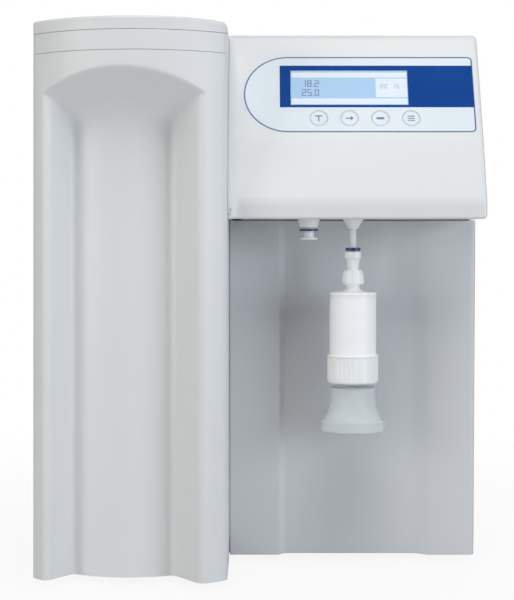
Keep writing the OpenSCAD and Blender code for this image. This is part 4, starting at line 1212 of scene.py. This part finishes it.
turned_white("capsule_shell", capsule_outline, "capsule_body", "root", capsule_rounding)

label_paper = finish("bare_label_paper", (0.90, 0.91, 0.92), 0.5)
drift_colour(label_paper, 30, (0.93, 0.935, 0.94))
relief(label_paper, 900, 0.006)
LABEL_MARGIN = 4
label_in = CAPSULE_RADIUS - 0.05
label_out = CAPSULE_RADIUS + 0.12
label_low = body_z + LABEL_MARGIN
label_high = shoulder_low - LABEL_MARGIN
label_outline = [(label_in, label_low), (label_out, label_low), (label_out, label_high),
                 (label_in, label_high)]
turned("capsule_label", label_outline, filter_place, label_paper, "root")

# %% Collar
collar_low, collar_high = box_mm("capsule_collar")
COLLAR_RADIUS = 24.75
COLLAR_FLOOR = 4
collar_z = collar_low.z
collar_top = collar_high.z
collar_in = CAPSULE_RADIUS - 0.9
collar_outline = [(SPIGOT_RADIUS, collar_z), (COLLAR_RADIUS - 1.6, collar_z),
                  (COLLAR_RADIUS - 0.6, collar_z + 1.4), (COLLAR_RADIUS - 0.5, collar_top - 2.4),
                  (COLLAR_RADIUS, collar_top - 2), (COLLAR_RADIUS, collar_top), (collar_in, collar_top),
                  (collar_in, collar_z + COLLAR_FLOOR), (SPIGOT_RADIUS, collar_z + COLLAR_FLOOR)]
turned_white("collar_body", collar_outline, "capsule_collar", "root", {1: 0.6, 2: 0.6, 4: 0.4, 5: 0.7})
ribs("collar_ribs", 36, COLLAR_RADIUS - 0.6, COLLAR_RADIUS - 0.6, collar_z + 2.4, collar_top - 4, 1.2, 0.45,
     "root")

# %% Filling bell
bell_low, bell_high = box_mm("filling_bell")
BELL_WALL = 1.8
RIM_HEIGHT = 11
RIM_WALL = 3
BELL_NECK = 6
HUB_RADIUS = SPIGOT_RADIUS + 2.2
HUB_DEPTH = 8
bell_top = bell_high.z
bell_z = bell_low.z
bell_radius = (bell_high.x - bell_low.x) / 2
shoulder = CAPSULE_RADIUS - 0.6
drop = bell_top - bell_z - BELL_NECK - RIM_HEIGHT
spread = bell_radius - shoulder - 1
skirt = [(shoulder + spread * (1 - math.cos(t)), bell_top - BELL_NECK - drop * math.sin(t))
         for t in [math.pi / 2 * i / 20 for i in range(21)]]
bell_outline = [(SPIGOT_RADIUS + FIT, bell_top), (shoulder, bell_top)] + skirt
rim_first = len(bell_outline)
bell_outline += [(bell_radius, bell_z + RIM_HEIGHT - 1), (bell_radius, bell_z),
                 (bell_radius - RIM_WALL, bell_z), (bell_radius - RIM_WALL, bell_z + RIM_HEIGHT - RIM_WALL)]
bell_outline += [(r - BELL_WALL, z) for r, z in skirt[:0:-1]]
bell_outline += [(shoulder - BELL_WALL, bell_top - BELL_WALL), (HUB_RADIUS, bell_top - BELL_WALL),
                 (HUB_RADIUS, bell_top - HUB_DEPTH), (SPIGOT_RADIUS + FIT, bell_top - HUB_DEPTH)]
bell_rounding = {1: 2.5, rim_first: 0.8, rim_first + 1: 1.2, rim_first + 2: 1.0}
turned("filling_bell_clear", bell_outline, filter_place, clear_plastic, "bell",
       ("filling_bell",), rounding=bell_rounding, steps=128)
